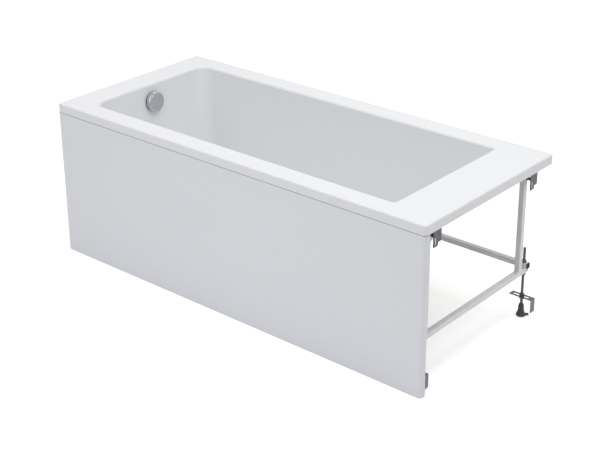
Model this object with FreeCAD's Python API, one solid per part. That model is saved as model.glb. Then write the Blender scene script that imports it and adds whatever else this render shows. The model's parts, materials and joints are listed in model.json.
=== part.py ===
"""Alcove bathtub: acrylic tub, front panel, steel frame on four threaded legs, pop-up waste.

Millimetres. +X runs along the tub from the overflow end to the backrest end, -Y is the panelled
front, +Y the wall side, +Z up. The origin is on the floor under the middle of the rim.
"""
import FreeCAD, Part
import math
import os

V = FreeCAD.Vector
X_AXIS = V(1, 0, 0)
Y_AXIS = V(0, 1, 0)
Z_AXIS = V(0, 0, 1)
ORIGIN = V(0, 0, 0)

# ---------------------------------------------------------------- driving dimensions

LENGTH = 1700.0
WIDTH = 750.0
RIM_HEIGHT = 610.0

# Tub shell: acrylic sheet backed with glass fibre
SHEET = 5.0
LIP_DEPTH = 34.0
RIM_CORNER_RADIUS = 14.0
RIM_EDGE_RADIUS = 6.0
FRONT_DECK = 75.0
LEFT_DECK = 106.0
RIGHT_DECK = 170.0
BASIN_DEPTH = 400.0
OPENING_ROLL = 9.0
OPENING_CORNER_LEFT = 52.0
OPENING_CORNER_RIGHT = 12.0
END_WALL_ANGLE = 8.0
SIDE_WALL_ANGLE = 7.0
BACKREST_ANGLE = 26.0
FLOOR_CORNER_LEFT = 80.0
FLOOR_CORNER_RIGHT = 110.0
FLOOR_ROLL = 60.0

# Base board under the basin floor
BOARD_THICKNESS = 13.0
BOARD_LEFT_INSET = 62.0
BOARD_RIGHT_INSET = 46.0
BOARD_SIDE_INSET = 58.0
BOARD_CORNER_RADIUS = 40.0
BOARD_CUT_OUT_RADIUS = 45.0
BOARD_SCREW_STATIONS = (-150.0, -50.0, 50.0, 150.0)
BOARD_SCREW_BITE = 10.0

# Timber battens under the deck
BATTEN_HEIGHT = 20.0
BATTEN_WIDTH = 40.0
BATTEN_GAP = 3.0
END_BATTEN_WIDTH = 50.0
END_BATTEN_HALF = 345.0
BATTEN_SCREW_LENGTH = 15.0

# Front panel and the spring clips that hold its top edge
PANEL_THICKNESS = 4.0
PANEL_GAP = 1.5
PANEL_RETURN = 23.0
PANEL_CORNER_RADIUS = 12.0
CLIP_STATIONS = (-560.0, 0.0, 560.0)
CLIP_GAUGE = 1.5
CLIP_HALF_WIDTH = 15.0
CLIP_FOOT_DEPTH = 32.0
CLIP_HOOK = 6.0
CLIP_SCREW_SETBACK = 42.0

# Steel frame of square tube
TUBE = 20.0
TUBE_WALL = 1.5
TUBE_CORNER = 2.0
TUBE_INNER_CORNER = 1.0
CAP_THICKNESS = 2.0
CAP_STUB = 8.0
LONG_RAIL_HALF = 819.0
END_STATION = 803.0
INNER_STATIONS = (-380.0, 260.0)
BACK_LEG_Y = 300.7
FRONT_LEG_Y = -340.0
BACK_POST_Y = 262.7
FRONT_POST_Y = -303.0
RAIL_OVERHANG = 14.0

# Threaded legs
ROD_RADIUS = 5.0
ROD_TOP = 268.0
ROD_HOLE_RADIUS = 5.5
ROD_CHAMFER = 0.8
NUT_FLATS = 17.0
NUT_HEIGHT = 8.0
NUT_CHAMFER = 1.0
RUNNING_CLEARANCE = 0.05
FOOT_RADIUS = 16.5
FOOT_RIM_HEIGHT = 7.0
FOOT_FLARE_RADIUS = 12.2
FOOT_FLARE_HEIGHT = 18.0
FOOT_WAIST_RADIUS = 10.6
FOOT_WAIST_HEIGHT = 32.0
FOOT_SHOULDER_RADIUS = 10.1
FOOT_SHOULDER_HEIGHT = 37.5
FOOT_TOP_RADIUS = 7.6
FOOT_HEIGHT = 47.5
FOOT_SOLE = 14.0
LUG_REACH = 23.0
LUG_WIDTH = 12.0
LUG_THICKNESS = 5.0
LUG_HOLE_RADIUS = 2.5

# Slotted angles on the legs
ANGLE_WIDTH = 25.0
ANGLE_THICKNESS = 3.0
ANGLE_LENGTH = 90.0
ANGLE_DROP = 51.0
ANGLE_SLOT_WIDTH = 10.6
ANGLE_SLOT_START = 15.0
END_ANGLE_SLOT_END = 69.0
PANEL_ANGLE_SLOT_END = 48.0
BACK_ANGLE_END_GAP = 1.0
FRONT_ANGLE_END_GAP = PANEL_THICKNESS + 0.7
PANEL_ANGLE_GAP = 0.3
PANEL_ANGLE_LENGTH = 66.0
BACK_ANGLE_TOP = 79.0
FRONT_ANGLE_TOP = 72.0

# Stamped rim brackets
BRACKET_THICKNESS = 2.5
BRACKET_FACE = 840.5
TONGUE_WIDTH = 25.0
TONGUE_CHAMFER = 5.0
BRACKET_WIDTH = 42.0
BRACKET_CHAMFER = 4.0
BRACKET_BOTTOM = 525.0
BRACKET_SCREW_INSET = 8.0
BRACKET_SCREW_SETBACK = 9.0
TONGUE_BOTTOM = 513.0
TONGUE_SLOT_WIDTH = 6.0
TONGUE_SLOT_LENGTH = 26.0
TONGUE_SLOT_LIFT = 8.0
TAB_TOP = 552.0
TAB_THICKNESS = 3.0
TAB_WIDTH = 21.0
BACK_BRACKET_Y = 245.5
FRONT_BRACKET_Y = -318.0

# Screws
SCREW_RADIUS = 2.0
SCREW_HEAD_RADIUS = 4.0
SCREW_HEAD_HEIGHT = 2.5

# Overflow, on the left end wall; its own axis leans with the wall, and depths run along it
OVERFLOW_HEIGHT = 541.0
FITTING_HOLE_RADIUS = 26.0
FITTING_DRILL = 30.0
NECK_RADIUS = 24.0
NECK_BORE_RADIUS = 21.0
NECK_DEPTH = 20.0
FACE_RING_RADIUS = 37.0
FACE_RING_DEPTH = 5.0
FACE_RING_BEVEL = 3.0
SPINDLE_RADIUS = 4.0
SPINDLE_SOCKET = 8.0
HUB_RADIUS = 8.0
KNOB_RADIUS = 40.5
KNOB_BACK = 7.5
KNOB_FRONT = 25.0
KNOB_WALL = 2.5
KNOB_NOTCH_RADIUS = 14.0
KNOB_NOTCH_BITE = 6.0
KNOB_NOTCH_DEPTH = 7.0
GASKET_RADIUS = 34.0
GASKET_THICKNESS = 3.0
OVERFLOW_BODY_DEPTH = 34.0
OVERFLOW_BODY_RADIUS = 29.0
HOUSING_WALL = 3.0
HOUSING_FLANGE = 4.0
DRUM_RADIUS = 15.0
DRUM_BACK = -33.0
DRUM_FRONT = -27.0
HOSE_RADIUS = 16.0
HOSE_BORE_RADIUS = 13.5
HOSE_X = -765.0
HOSE_TOP_DROP = 52.0
HOSE_BEND_RADIUS = 60.0
CABLE_RADIUS = 2.5
CABLE_Y = 24.0
CABLE_TOP_DROP = 40.0
CABLE_BEND_RADIUS = 45.0
CABLE_SIDE_BEND_RADIUS = 40.0

# Waste with pop-up plug, in the basin floor
DRAIN_X = -560.0
FLANGE_RADIUS = 35.0
FLANGE_THICKNESS = 4.0
FLANGE_BEVEL = 2.0
FLANGE_NECK_LENGTH = 24.0
DISH_RADIUS = 31.0
THROAT_RADIUS = 19.0
GUIDE_HEIGHT = 10.0
SPOKE_HEIGHT = 5.0
WASTE_BODY_RADIUS = 27.0
CHAMBER_RADIUS = 22.5
CHAMBER_BOTTOM = 148.0
HOSE_PORT_HEIGHT = 172.0
HOSE_PORT_LENGTH = 12.0
CABLE_PORT_LENGTH = 8.0
CABLE_PORT_DROP = 20.0
PLUG_RADIUS = 28.0
PLUG_NECK_RADIUS = 17.0
PLUG_NECK_DEPTH = 3.0
PLUG_CROWN = 6.0
PLUG_LIFT = 10.0
LEVER_PIVOT_HEIGHT = 160.0
LEVER_REACH = 17.0
LEVER_TIP_RADIUS = 3.5
LEVER_HUB_RADIUS = 4.0
LEVER_ARM_HALF = 1.7
LEVER_PIN_RADIUS = 2.0
LEVER_PIN_HALF = 18.0
TAIL_RADIUS = 23.0
TAIL_BOTTOM = 132.0

# Trap below the waste
TRAP_RADIUS = 20.0
TRAP_BORE_RADIUS = 17.5
TRAP_BEND_RADIUS = 35.0
TRAP_BEND_HEIGHT = 85.0
TRAP_FLANGE = 3.0
OUTLET_BEND_RADIUS = 30.0
OUTLET_HEIGHT = 130.0
OUTLET_REACH = 170.0
NUT_RIBS = 8

# ---------------------------------------------------------------- worked-out places

FRONT = -WIDTH / 2
BACK = WIDTH / 2
LEFT = -LENGTH / 2
RIGHT = LENGTH / 2
LIP_BOTTOM = RIM_HEIGHT - LIP_DEPTH
DECK_UNDERSIDE = RIM_HEIGHT - SHEET
FLOOR_TOP = RIM_HEIGHT - BASIN_DEPTH
FLOOR_UNDERSIDE = FLOOR_TOP - SHEET
CROSS_RAIL_TOP = FLOOR_UNDERSIDE - BOARD_THICKNESS
CROSS_RAIL_BOTTOM = CROSS_RAIL_TOP - TUBE
LONG_RAIL_TOP = CROSS_RAIL_TOP + TUBE
BATTEN_BOTTOM = DECK_UNDERSIDE - BATTEN_HEIGHT
BATTEN_OUTER_END = BRACKET_FACE - BRACKET_THICKNESS - BATTEN_GAP
BATTEN_INNER_END = BATTEN_OUTER_END - END_BATTEN_WIDTH
PANEL_TOP = LIP_BOTTOM - PANEL_GAP
PANEL_BACK = FRONT + PANEL_THICKNESS
GASKET_BACK = -SHEET - GASKET_THICKNESS
PLUG_SEAT = FLOOR_TOP + FLANGE_THICKNESS
PLUG_BASE = PLUG_SEAT - 1.0
STEM_BOTTOM = LEVER_PIVOT_HEIGHT - PLUG_LIFT / 2 + LEVER_TIP_RADIUS + 0.3

# The rounded edge of the opening starts outside the wall's own sharp corner by this much.
ROLL_SETBACK = OPENING_ROLL * 0.9
BASIN_LEFT = LEFT + LEFT_DECK + ROLL_SETBACK
BASIN_RIGHT = RIGHT - RIGHT_DECK - ROLL_SETBACK
BASIN_HALF_WIDTH = WIDTH / 2 - FRONT_DECK - ROLL_SETBACK


def lean(angle, height):
    """Sideways run of a wall that leans by the angle over the height."""
    return height * math.tan(math.radians(angle))


FLOOR_LEFT = BASIN_LEFT + lean(END_WALL_ANGLE, BASIN_DEPTH)
FLOOR_RIGHT = BASIN_RIGHT - lean(BACKREST_ANGLE, BASIN_DEPTH)
FLOOR_HALF_WIDTH = BASIN_HALF_WIDTH - lean(SIDE_WALL_ANGLE, BASIN_DEPTH)
OVERFLOW_X = BASIN_LEFT + lean(END_WALL_ANGLE, RIM_HEIGHT - OVERFLOW_HEIGHT)

# ---------------------------------------------------------------- shared forms


def box(x0, x1, y0, y1, z0, z1):
    """Upright block between two corners."""
    return Part.makeBox(x1 - x0, y1 - y0, z1 - z0, V(x0, y0, z0))


def cylinder(radius, start, direction, length):
    """Round bar from a point along a direction."""
    return Part.makeCylinder(radius, length, start, direction)


def ring(outer, inner, start, direction, length):
    """Round bar with a round hole along it."""
    return cylinder(outer, start, direction, length).cut(cylinder(inner, start, direction, length))


def rounded_outline(x0, x1, y0, y1, z, left_radius, right_radius):
    """Level rectangle with rounded corners, one radius at each end."""
    bulge = 1 - math.sqrt(0.5)
    corners = ((x1, y0, -1, 1, right_radius), (x1, y1, -1, -1, right_radius),
               (x0, y1, 1, -1, left_radius), (x0, y0, 1, 1, left_radius))
    edges = []
    previous = V(x0 + left_radius, y0, z)
    for index, (x, y, inward_x, inward_y, radius) in enumerate(corners):
        along_x = V(x + inward_x * radius, y, z)
        along_y = V(x, y + inward_y * radius, z)
        middle = V(x + inward_x * radius * bulge, y + inward_y * radius * bulge, z)
        start, end = (along_x, along_y) if index % 2 == 0 else (along_y, along_x)
        edges.append(Part.LineSegment(previous, start).toShape())
        edges.append(Part.Arc(start, middle, end).toShape())
        previous = end
    return Part.Wire(edges)


def rounded_block(x0, x1, y0, y1, z0, z1, radius):
    """Block with its four upright edges rounded."""
    outline = rounded_outline(x0, x1, y0, y1, z0, radius, radius)
    return Part.Face(outline).extrude(V(0, 0, z1 - z0))


def slot_cutter(start, end, width, direction, depth):
    """Round-ended slot from one end's centre to the other's, cut along the direction."""
    side = (end - start).cross(direction).normalize() * (width / 2)
    corners = [start + side, end + side, end - side, start - side, start + side]
    cutter = Part.Face(Part.makePolygon(corners)).extrude(direction * depth)
    for centre in (start, end):
        cutter = cutter.fuse(cylinder(width / 2, centre, direction, depth))
    return cutter


def revolved(profile, base=ORIGIN, axis=Z_AXIS):
    """Turned form: radius and height pairs, spun about an axis through the base."""
    points = [V(radius, 0, height) for radius, height in profile]
    solid = Part.Face(Part.makePolygon(points + points[:1])).revolve(ORIGIN, Z_AXIS, 360)
    solid.Placement = FreeCAD.Placement(base, FreeCAD.Rotation(Z_AXIS, axis))
    return solid


def mirrored_in_x(shape):
    """The same piece at the other end of the tub."""
    return shape.mirror(ORIGIN, X_AXIS)


def joined(pieces):
    """One solid from several that share faces or overlap."""
    return pieces[0].multiFuse(pieces[1:]).removeSplitter()


def square_tube(start, direction, length):
    """Square tube with rounded corners, hollow, from the middle of one end."""
    half = TUBE / 2
    inner = half - TUBE_WALL
    outside = rounded_block(-half, half, -half, half, 0, length, TUBE_CORNER)
    inside = rounded_block(-inner, inner, -inner, inner, 0, length, TUBE_INNER_CORNER)
    tube = outside.cut(inside)
    tube.Placement = FreeCAD.Placement(start, FreeCAD.Rotation(Z_AXIS, direction))
    return tube


def tube_cap(start, direction):
    """Plastic plug whose flat head closes a tube's end."""
    half = TUBE / 2
    plug = half - TUBE_WALL
    head = rounded_block(-half, half, -half, half, 0, CAP_THICKNESS, TUBE_CORNER)
    stub = rounded_block(-plug, plug, -plug, plug, -CAP_STUB, 0, TUBE_INNER_CORNER)
    cap = head.fuse(stub).removeSplitter()
    cap.Placement = FreeCAD.Placement(start, FreeCAD.Rotation(Z_AXIS, direction))
    return cap


def hex_nut(x, y, z):
    """Nut round a leg's rod, standing on the height z, with chamfered corners."""
    corner = NUT_FLATS / math.sqrt(3)
    centre = V(x, y, z)
    spoke = V(corner, 0, 0)
    points = [centre + FreeCAD.Rotation(Z_AXIS, 60 * k).multVec(spoke) for k in range(7)]
    blank = Part.Face(Part.makePolygon(points)).extrude(V(0, 0, NUT_HEIGHT))
    bevel = revolved(((0, 0), (NUT_FLATS / 2, 0), (corner, NUT_CHAMFER), (corner, NUT_HEIGHT - NUT_CHAMFER),
                      (NUT_FLATS / 2, NUT_HEIGHT), (0, NUT_HEIGHT)), centre)
    bore = cylinder(ROD_RADIUS + RUNNING_CLEARANCE, centre, Z_AXIS, NUT_HEIGHT)
    return blank.common(bevel).cut(bore)


def screw(head, length):
    """Pan-head screw driven upwards: its head hangs under the point, its shank runs up."""
    below = head - Z_AXIS * SCREW_HEAD_HEIGHT
    cap = cylinder(SCREW_HEAD_RADIUS, below, Z_AXIS, SCREW_HEAD_HEIGHT)
    return cap.fuse(screw_shank(head, length)).removeSplitter()


def screw_shank(head, length):
    """The shank alone, which also cuts its hole."""
    return cylinder(SCREW_RADIUS, head, Z_AXIS, length)


def swept_tube(points, radii, outer, inner):
    """Pipe along straight runs joined by tangent arcs; solid where the inner radius is 0."""
    edges = []
    start = points[0]
    for before, corner, after, radius in zip(points, points[1:], points[2:], radii):
        arriving = (corner - before).normalize()
        leaving = (after - corner).normalize()
        turn = arriving.getAngle(leaving)
        setback = radius * math.tan(turn / 2)
        arc_start = corner - arriving * setback
        arc_end = corner + leaving * setback
        inward = (leaving - arriving).normalize()
        arc_middle = corner + inward * (radius / math.cos(turn / 2) - radius)
        edges.append(Part.LineSegment(start, arc_start).toShape())
        edges.append(Part.Arc(arc_start, arc_middle, arc_end).toShape())
        start = arc_end
    edges.append(Part.LineSegment(start, points[-1]).toShape())
    path = Part.Wire(edges)

    def pipe(radius):
        circle = Part.Wire(Part.makeCircle(radius, points[0], points[1] - points[0]))
        return path.makePipeShell([circle], True, False)

    tube = pipe(outer)
    return tube.cut(pipe(inner)) if inner else tube


# ---------------------------------------------------------------- tub


def basin_form(grow):
    """Closed form of the basin: its inner face, or its outer face when grown by the sheet."""
    low = FLOOR_TOP - grow

    def outline(left, right, half_width, height, left_radius, right_radius, drop):
        """Level outline, moved out so that each leaning wall shifts by the growth along its normal."""
        left_out, right_out, side_out = (grow / math.cos(math.radians(angle)) - lean(angle, drop)
                                         for angle in (END_WALL_ANGLE, BACKREST_ANGLE, SIDE_WALL_ANGLE))
        side = half_width + side_out
        return rounded_outline(left - left_out, right + right_out, -side, side, height,
                               left_radius + grow, right_radius + grow)

    top = outline(BASIN_LEFT, BASIN_RIGHT, BASIN_HALF_WIDTH, RIM_HEIGHT,
                  OPENING_CORNER_LEFT, OPENING_CORNER_RIGHT, 0)
    bottom = outline(FLOOR_LEFT, FLOOR_RIGHT, FLOOR_HALF_WIDTH, low,
                     FLOOR_CORNER_LEFT, FLOOR_CORNER_RIGHT, grow)
    form = Part.makeLoft([top, bottom], True, True)
    floor_edges = [edge for edge in form.Edges if edge.BoundBox.ZMax < low + 0.01]
    return form.makeFillet(FLOOR_ROLL + grow, floor_edges)


def overflow_axis():
    """Direction out of the left end wall into the basin."""
    angle = math.radians(END_WALL_ANGLE)
    return V(math.cos(angle), 0, math.sin(angle))


def overflow_point(depth):
    """Point on the overflow's axis: 0 is the wall's inner face, plus is into the basin."""
    return V(OVERFLOW_X, 0, OVERFLOW_HEIGHT) + overflow_axis() * depth


def tub_shell():
    """One formed sheet: deck with its lip, sloped basin, rolled opening, two fitting holes."""
    deck = rounded_block(LEFT, RIGHT, FRONT, BACK, LIP_BOTTOM, RIM_HEIGHT, RIM_CORNER_RADIUS)
    top_edges = [edge for edge in deck.Edges if edge.BoundBox.ZMin > RIM_HEIGHT - 0.01]
    deck = deck.makeFillet(RIM_EDGE_RADIUS, top_edges)
    hollow = rounded_block(LEFT + SHEET, RIGHT - SHEET, FRONT + SHEET, BACK - SHEET,
                           LIP_BOTTOM, DECK_UNDERSIDE, RIM_CORNER_RADIUS - SHEET)
    shell = deck.cut(hollow).fuse(basin_form(SHEET)).cut(basin_form(0))
    opening_edges = [edge for edge in shell.Edges
                     if edge.BoundBox.ZMin > RIM_HEIGHT - 0.01
                     and abs(edge.BoundBox.YMin) < BASIN_HALF_WIDTH + 1
                     and abs(edge.BoundBox.YMax) < BASIN_HALF_WIDTH + 1]
    shell = shell.makeFillet(OPENING_ROLL, opening_edges)
    below = drain_point(FLOOR_TOP - FITTING_DRILL / 2)
    drain = cylinder(FITTING_HOLE_RADIUS, below, Z_AXIS, FITTING_DRILL)
    behind = overflow_point(-FITTING_DRILL / 2)
    overflow = cylinder(FITTING_HOLE_RADIUS, behind, overflow_axis(), FITTING_DRILL)
    return shell.cut(drain).cut(overflow)


def board_screw_heads():
    """Where the screws through the inner cross rails start, under each rail."""
    return [V(x, y, CROSS_RAIL_BOTTOM) for x in INNER_STATIONS for y in BOARD_SCREW_STATIONS]


def base_board():
    """Chipboard bonded under the basin floor, cut out round the waste."""
    side = FLOOR_HALF_WIDTH - BOARD_SIDE_INSET
    board = rounded_block(FLOOR_LEFT + BOARD_LEFT_INSET, FLOOR_RIGHT - BOARD_RIGHT_INSET, -side, side,
                          CROSS_RAIL_TOP, FLOOR_UNDERSIDE, BOARD_CORNER_RADIUS)
    board = board.cut(cylinder(BOARD_CUT_OUT_RADIUS, drain_point(CROSS_RAIL_TOP), Z_AXIS, BOARD_THICKNESS))
    for head in board_screw_heads():
        board = board.cut(screw_shank(head, TUBE + BOARD_SCREW_BITE))
    return board


def board_screws():
    """Screws that hold the base board down on the inner cross rails."""
    return [screw(head, TUBE + BOARD_SCREW_BITE) for head in board_screw_heads()]


# ---------------------------------------------------------------- rim battens and brackets


def bracket_screw_heads(bracket_y):
    """Screws through a right-hand rim bracket's top flange into the end batten."""
    x = BATTEN_OUTER_END - BRACKET_SCREW_SETBACK
    below = BATTEN_BOTTOM - BRACKET_THICKNESS
    offsets = (BRACKET_SCREW_INSET, BRACKET_WIDTH - BRACKET_SCREW_INSET)
    return [V(x, bracket_y + offset, below) for offset in offsets]


def clip_screw_heads():
    """One screw through each panel clip into the front batten."""
    return [V(x, FRONT + CLIP_SCREW_SETBACK, BATTEN_BOTTOM - CLIP_GAUGE) for x in CLIP_STATIONS]


def right_end_batten():
    """Timber batten under the wide deck at the backrest end."""
    batten = box(BATTEN_INNER_END, BATTEN_OUTER_END, -END_BATTEN_HALF, END_BATTEN_HALF,
                 BATTEN_BOTTOM, DECK_UNDERSIDE)
    for bracket_y in (BACK_BRACKET_Y, FRONT_BRACKET_Y):
        for head in bracket_screw_heads(bracket_y):
            batten = batten.cut(screw_shank(head, BATTEN_SCREW_LENGTH))
    return batten


def side_batten(side):
    """Timber batten under the front (-1) or back (+1) deck, between the end battens."""
    outer = side * (WIDTH / 2 - SHEET - BATTEN_GAP)
    inner = outer - side * BATTEN_WIDTH
    batten = box(-BATTEN_INNER_END, BATTEN_INNER_END, min(outer, inner), max(outer, inner),
                 BATTEN_BOTTOM, DECK_UNDERSIDE)
    if side < 0:
        for head in clip_screw_heads():
            batten = batten.cut(screw_shank(head, BATTEN_SCREW_LENGTH))
    return batten


def rim_screws():
    """Screws of the rim brackets and the panel clips."""
    screws = [screw(head, BATTEN_SCREW_LENGTH) for head in clip_screw_heads()]
    for bracket_y in (BACK_BRACKET_Y, FRONT_BRACKET_Y):
        for head in bracket_screw_heads(bracket_y):
            right = screw(head, BATTEN_SCREW_LENGTH)
            screws += [right, mirrored_in_x(right)]
    return screws


def right_rim_bracket(bracket_y):
    """Stamped wall bracket: stepped plate with a slotted tongue, top flange, tab to the post."""
    inner = BRACKET_FACE - BRACKET_THICKNESS
    step = bracket_y + TONGUE_WIDTH
    far = bracket_y + BRACKET_WIDTH
    outline = [(bracket_y, BATTEN_BOTTOM), (far, BATTEN_BOTTOM), (far, BRACKET_BOTTOM + BRACKET_CHAMFER),
               (far - BRACKET_CHAMFER, BRACKET_BOTTOM), (step, BRACKET_BOTTOM),
               (step, TONGUE_BOTTOM + TONGUE_CHAMFER), (step - TONGUE_CHAMFER, TONGUE_BOTTOM),
               (bracket_y, TONGUE_BOTTOM), (bracket_y, BATTEN_BOTTOM)]
    plate = Part.Face(Part.makePolygon([V(inner, y, z) for y, z in outline]))
    plate = plate.extrude(V(BRACKET_THICKNESS, 0, 0))
    slot_low = V(inner, bracket_y + TONGUE_WIDTH / 2, TONGUE_BOTTOM + TONGUE_SLOT_LIFT)
    slot_high = slot_low + Z_AXIS * (TONGUE_SLOT_LENGTH - TONGUE_SLOT_WIDTH)
    slot = slot_cutter(slot_low, slot_high, TONGUE_SLOT_WIDTH, X_AXIS, BRACKET_THICKNESS)
    post_face = END_STATION + TUBE / 2
    flange = box(post_face + BATTEN_GAP, inner, bracket_y, far,
                 BATTEN_BOTTOM - BRACKET_THICKNESS, BATTEN_BOTTOM)
    tab = box(post_face, inner, bracket_y, bracket_y + TAB_WIDTH, TAB_TOP - TAB_THICKNESS, TAB_TOP)
    bracket = joined([plate.cut(slot), flange, tab])
    for head in bracket_screw_heads(bracket_y):
        bracket = bracket.cut(screw_shank(head, BRACKET_THICKNESS))
    return bracket


# ---------------------------------------------------------------- front panel


def front_panel():
    """Moulded panel: flat face, rounded ends with side returns, turned-in top edge."""
    behind = FRONT + 3 * PANEL_RETURN
    outer = rounded_block(LEFT, RIGHT, FRONT, behind, 0, PANEL_TOP, PANEL_CORNER_RADIUS)
    inner = rounded_block(LEFT + PANEL_THICKNESS, RIGHT - PANEL_THICKNESS, PANEL_BACK, behind,
                          0, PANEL_TOP - PANEL_THICKNESS, PANEL_CORNER_RADIUS - PANEL_THICKNESS)
    open_back = box(LEFT, RIGHT, FRONT + PANEL_RETURN, behind, 0, PANEL_TOP)
    return outer.cut(inner).cut(open_back)


def panel_clip(x):
    """Spring clip: foot screwed up into the front batten, hook under the panel's turned-in edge."""
    left = x - CLIP_HALF_WIDTH
    right = x + CLIP_HALF_WIDTH
    back = FRONT + PANEL_RETURN + 0.2
    top = BATTEN_BOTTOM
    under = PANEL_TOP - PANEL_THICKNESS
    low = under - CLIP_HOOK
    nose = back - CLIP_HOOK
    foot = box(left, right, back, back + CLIP_FOOT_DEPTH, top - CLIP_GAUGE, top)
    leg = box(left, right, back, back + CLIP_GAUGE, low, top)
    hook = box(left, right, nose, back + CLIP_GAUGE, low, low + CLIP_GAUGE)
    lip = box(left, right, nose, nose + CLIP_GAUGE, low, under)
    hole = screw_shank(V(x, FRONT + CLIP_SCREW_SETBACK, top - CLIP_GAUGE), CLIP_GAUGE)
    return joined([foot, leg, hook, lip]).cut(hole)


def panel_clips():
    """The three clips along the panel."""
    return [panel_clip(x) for x in CLIP_STATIONS]


# ---------------------------------------------------------------- frame


def long_rail(leg_y):
    """Rail along the tub, resting on the cross rails, drilled for the rods at both ends."""
    rail = square_tube(V(-LONG_RAIL_HALF, leg_y, CROSS_RAIL_TOP + TUBE / 2), X_AXIS, 2 * LONG_RAIL_HALF)
    for x in (-END_STATION, END_STATION):
        rail = rail.cut(cylinder(ROD_HOLE_RADIUS, V(x, leg_y, CROSS_RAIL_TOP), Z_AXIS, TUBE))
    return rail


def cross_rail(x):
    """Rail across the tub, under the long rails and under the base board."""
    start = FRONT_LEG_Y - RAIL_OVERHANG
    length = BACK_LEG_Y + RAIL_OVERHANG - start
    rail = square_tube(V(x, start, CROSS_RAIL_BOTTOM + TUBE / 2), Y_AXIS, length)
    if abs(x) == END_STATION:
        for leg_y in (FRONT_LEG_Y, BACK_LEG_Y):
            rail = rail.cut(cylinder(ROD_HOLE_RADIUS, V(x, leg_y, CROSS_RAIL_BOTTOM), Z_AXIS, TUBE))
    for head in board_screw_heads():
        if head.x == x:
            rail = rail.cut(screw_shank(head, TUBE))
    return rail


def post(x, y):
    """Upright tube from an end cross rail to the end batten."""
    return square_tube(V(x, y, CROSS_RAIL_TOP), Z_AXIS, BATTEN_BOTTOM - CROSS_RAIL_TOP)


def rail_end_caps():
    """Black plugs in the open ends of all the rails."""
    caps = []
    for leg_y in (FRONT_LEG_Y, BACK_LEG_Y):
        for side in (-1, 1):
            end = V(side * LONG_RAIL_HALF, leg_y, CROSS_RAIL_TOP + TUBE / 2)
            caps.append(tube_cap(end, X_AXIS * side))
    for x in (-END_STATION, END_STATION) + INNER_STATIONS:
        for side, leg_y in ((-1, FRONT_LEG_Y), (1, BACK_LEG_Y)):
            end = V(x, leg_y + side * RAIL_OVERHANG, CROSS_RAIL_BOTTOM + TUBE / 2)
            caps.append(tube_cap(end, Y_AXIS * side))
    return caps


def rail_nuts():
    """Two nuts on each rod clamp the stacked rails between them."""
    return [hex_nut(x, leg_y, z)
            for x in (-END_STATION, END_STATION)
            for leg_y in (FRONT_LEG_Y, BACK_LEG_Y)
            for z in (LONG_RAIL_TOP, CROSS_RAIL_BOTTOM - NUT_HEIGHT)]


# ---------------------------------------------------------------- legs


def right_leg_rod(leg_y):
    """Threaded rod from the foot's socket up through both rails."""
    rod = cylinder(ROD_RADIUS, V(END_STATION, leg_y, FOOT_SOLE), Z_AXIS, ROD_TOP - FOOT_SOLE)
    ends = [edge for edge in rod.Edges if edge.Curve.TypeId == "Part::GeomCircle"]
    return rod.makeChamfer(ROD_CHAMFER, ends)


def right_leg_foot(leg_y, toward_wall):
    """Bell-shaped foot with a bored socket and a drilled floor lug pointing to the tub's corner."""
    rim = V(FOOT_RADIUS, 0, FOOT_RIM_HEIGHT)
    waist = V(FOOT_WAIST_RADIUS, 0, FOOT_WAIST_HEIGHT)
    flare = Part.Arc(rim, V(FOOT_FLARE_RADIUS, 0, FOOT_FLARE_HEIGHT), waist).toShape()
    above = Part.makePolygon([waist, V(FOOT_SHOULDER_RADIUS, 0, FOOT_SHOULDER_HEIGHT),
                              V(FOOT_TOP_RADIUS, 0, FOOT_HEIGHT), V(0, 0, FOOT_HEIGHT), ORIGIN])
    below = Part.makePolygon([ORIGIN, V(FOOT_RADIUS, 0, 0), rim])
    outline = Part.Wire(below.Edges + [flare] + above.Edges)
    bell = Part.Face(outline).revolve(ORIGIN, Z_AXIS, 360)
    reach = box(0, LUG_REACH, -LUG_WIDTH / 2, LUG_WIDTH / 2, 0, LUG_THICKNESS)
    tip = cylinder(LUG_WIDTH / 2, V(LUG_REACH, 0, 0), Z_AXIS, LUG_THICKNESS)
    foot = joined([bell, reach, tip])
    foot = foot.cut(cylinder(LUG_HOLE_RADIUS, V(LUG_REACH, 0, 0), Z_AXIS, LUG_THICKNESS))
    foot = foot.cut(cylinder(ROD_RADIUS + RUNNING_CLEARANCE, V(0, 0, FOOT_SOLE), Z_AXIS, FOOT_HEIGHT))
    turn = 45 if toward_wall else -45
    foot.Placement = FreeCAD.Placement(V(END_STATION, leg_y, 0), FreeCAD.Rotation(Z_AXIS, turn))
    return foot


def slotted_angle(length, slot_end):
    """Bent strip along +X from 0: slotted level plate with its top at 0, flange down at the far end."""
    half = ANGLE_WIDTH / 2
    plate = box(0, length, -half, half, -ANGLE_THICKNESS, 0)
    flange = box(length - ANGLE_THICKNESS, length, -half, half, -ANGLE_DROP, 0)
    angle = joined([plate, flange])
    bend = [edge for edge in angle.Edges
            if edge.BoundBox.XMin > length - 0.01 and edge.BoundBox.ZMin > -0.01]
    angle = angle.makeFillet(ANGLE_THICKNESS - 0.5, bend)
    slot = slot_cutter(V(ANGLE_SLOT_START, 0, -ANGLE_THICKNESS), V(slot_end, 0, -ANGLE_THICKNESS),
                       ANGLE_SLOT_WIDTH, Z_AXIS, ANGLE_THICKNESS)
    return angle.cut(slot)


def right_end_angle(leg_y, top, end_gap):
    """Slotted angle whose flange stands near the rim's right end."""
    angle = slotted_angle(ANGLE_LENGTH, END_ANGLE_SLOT_END)
    angle.translate(V(RIGHT - end_gap - ANGLE_LENGTH, leg_y, top))
    return angle


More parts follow.
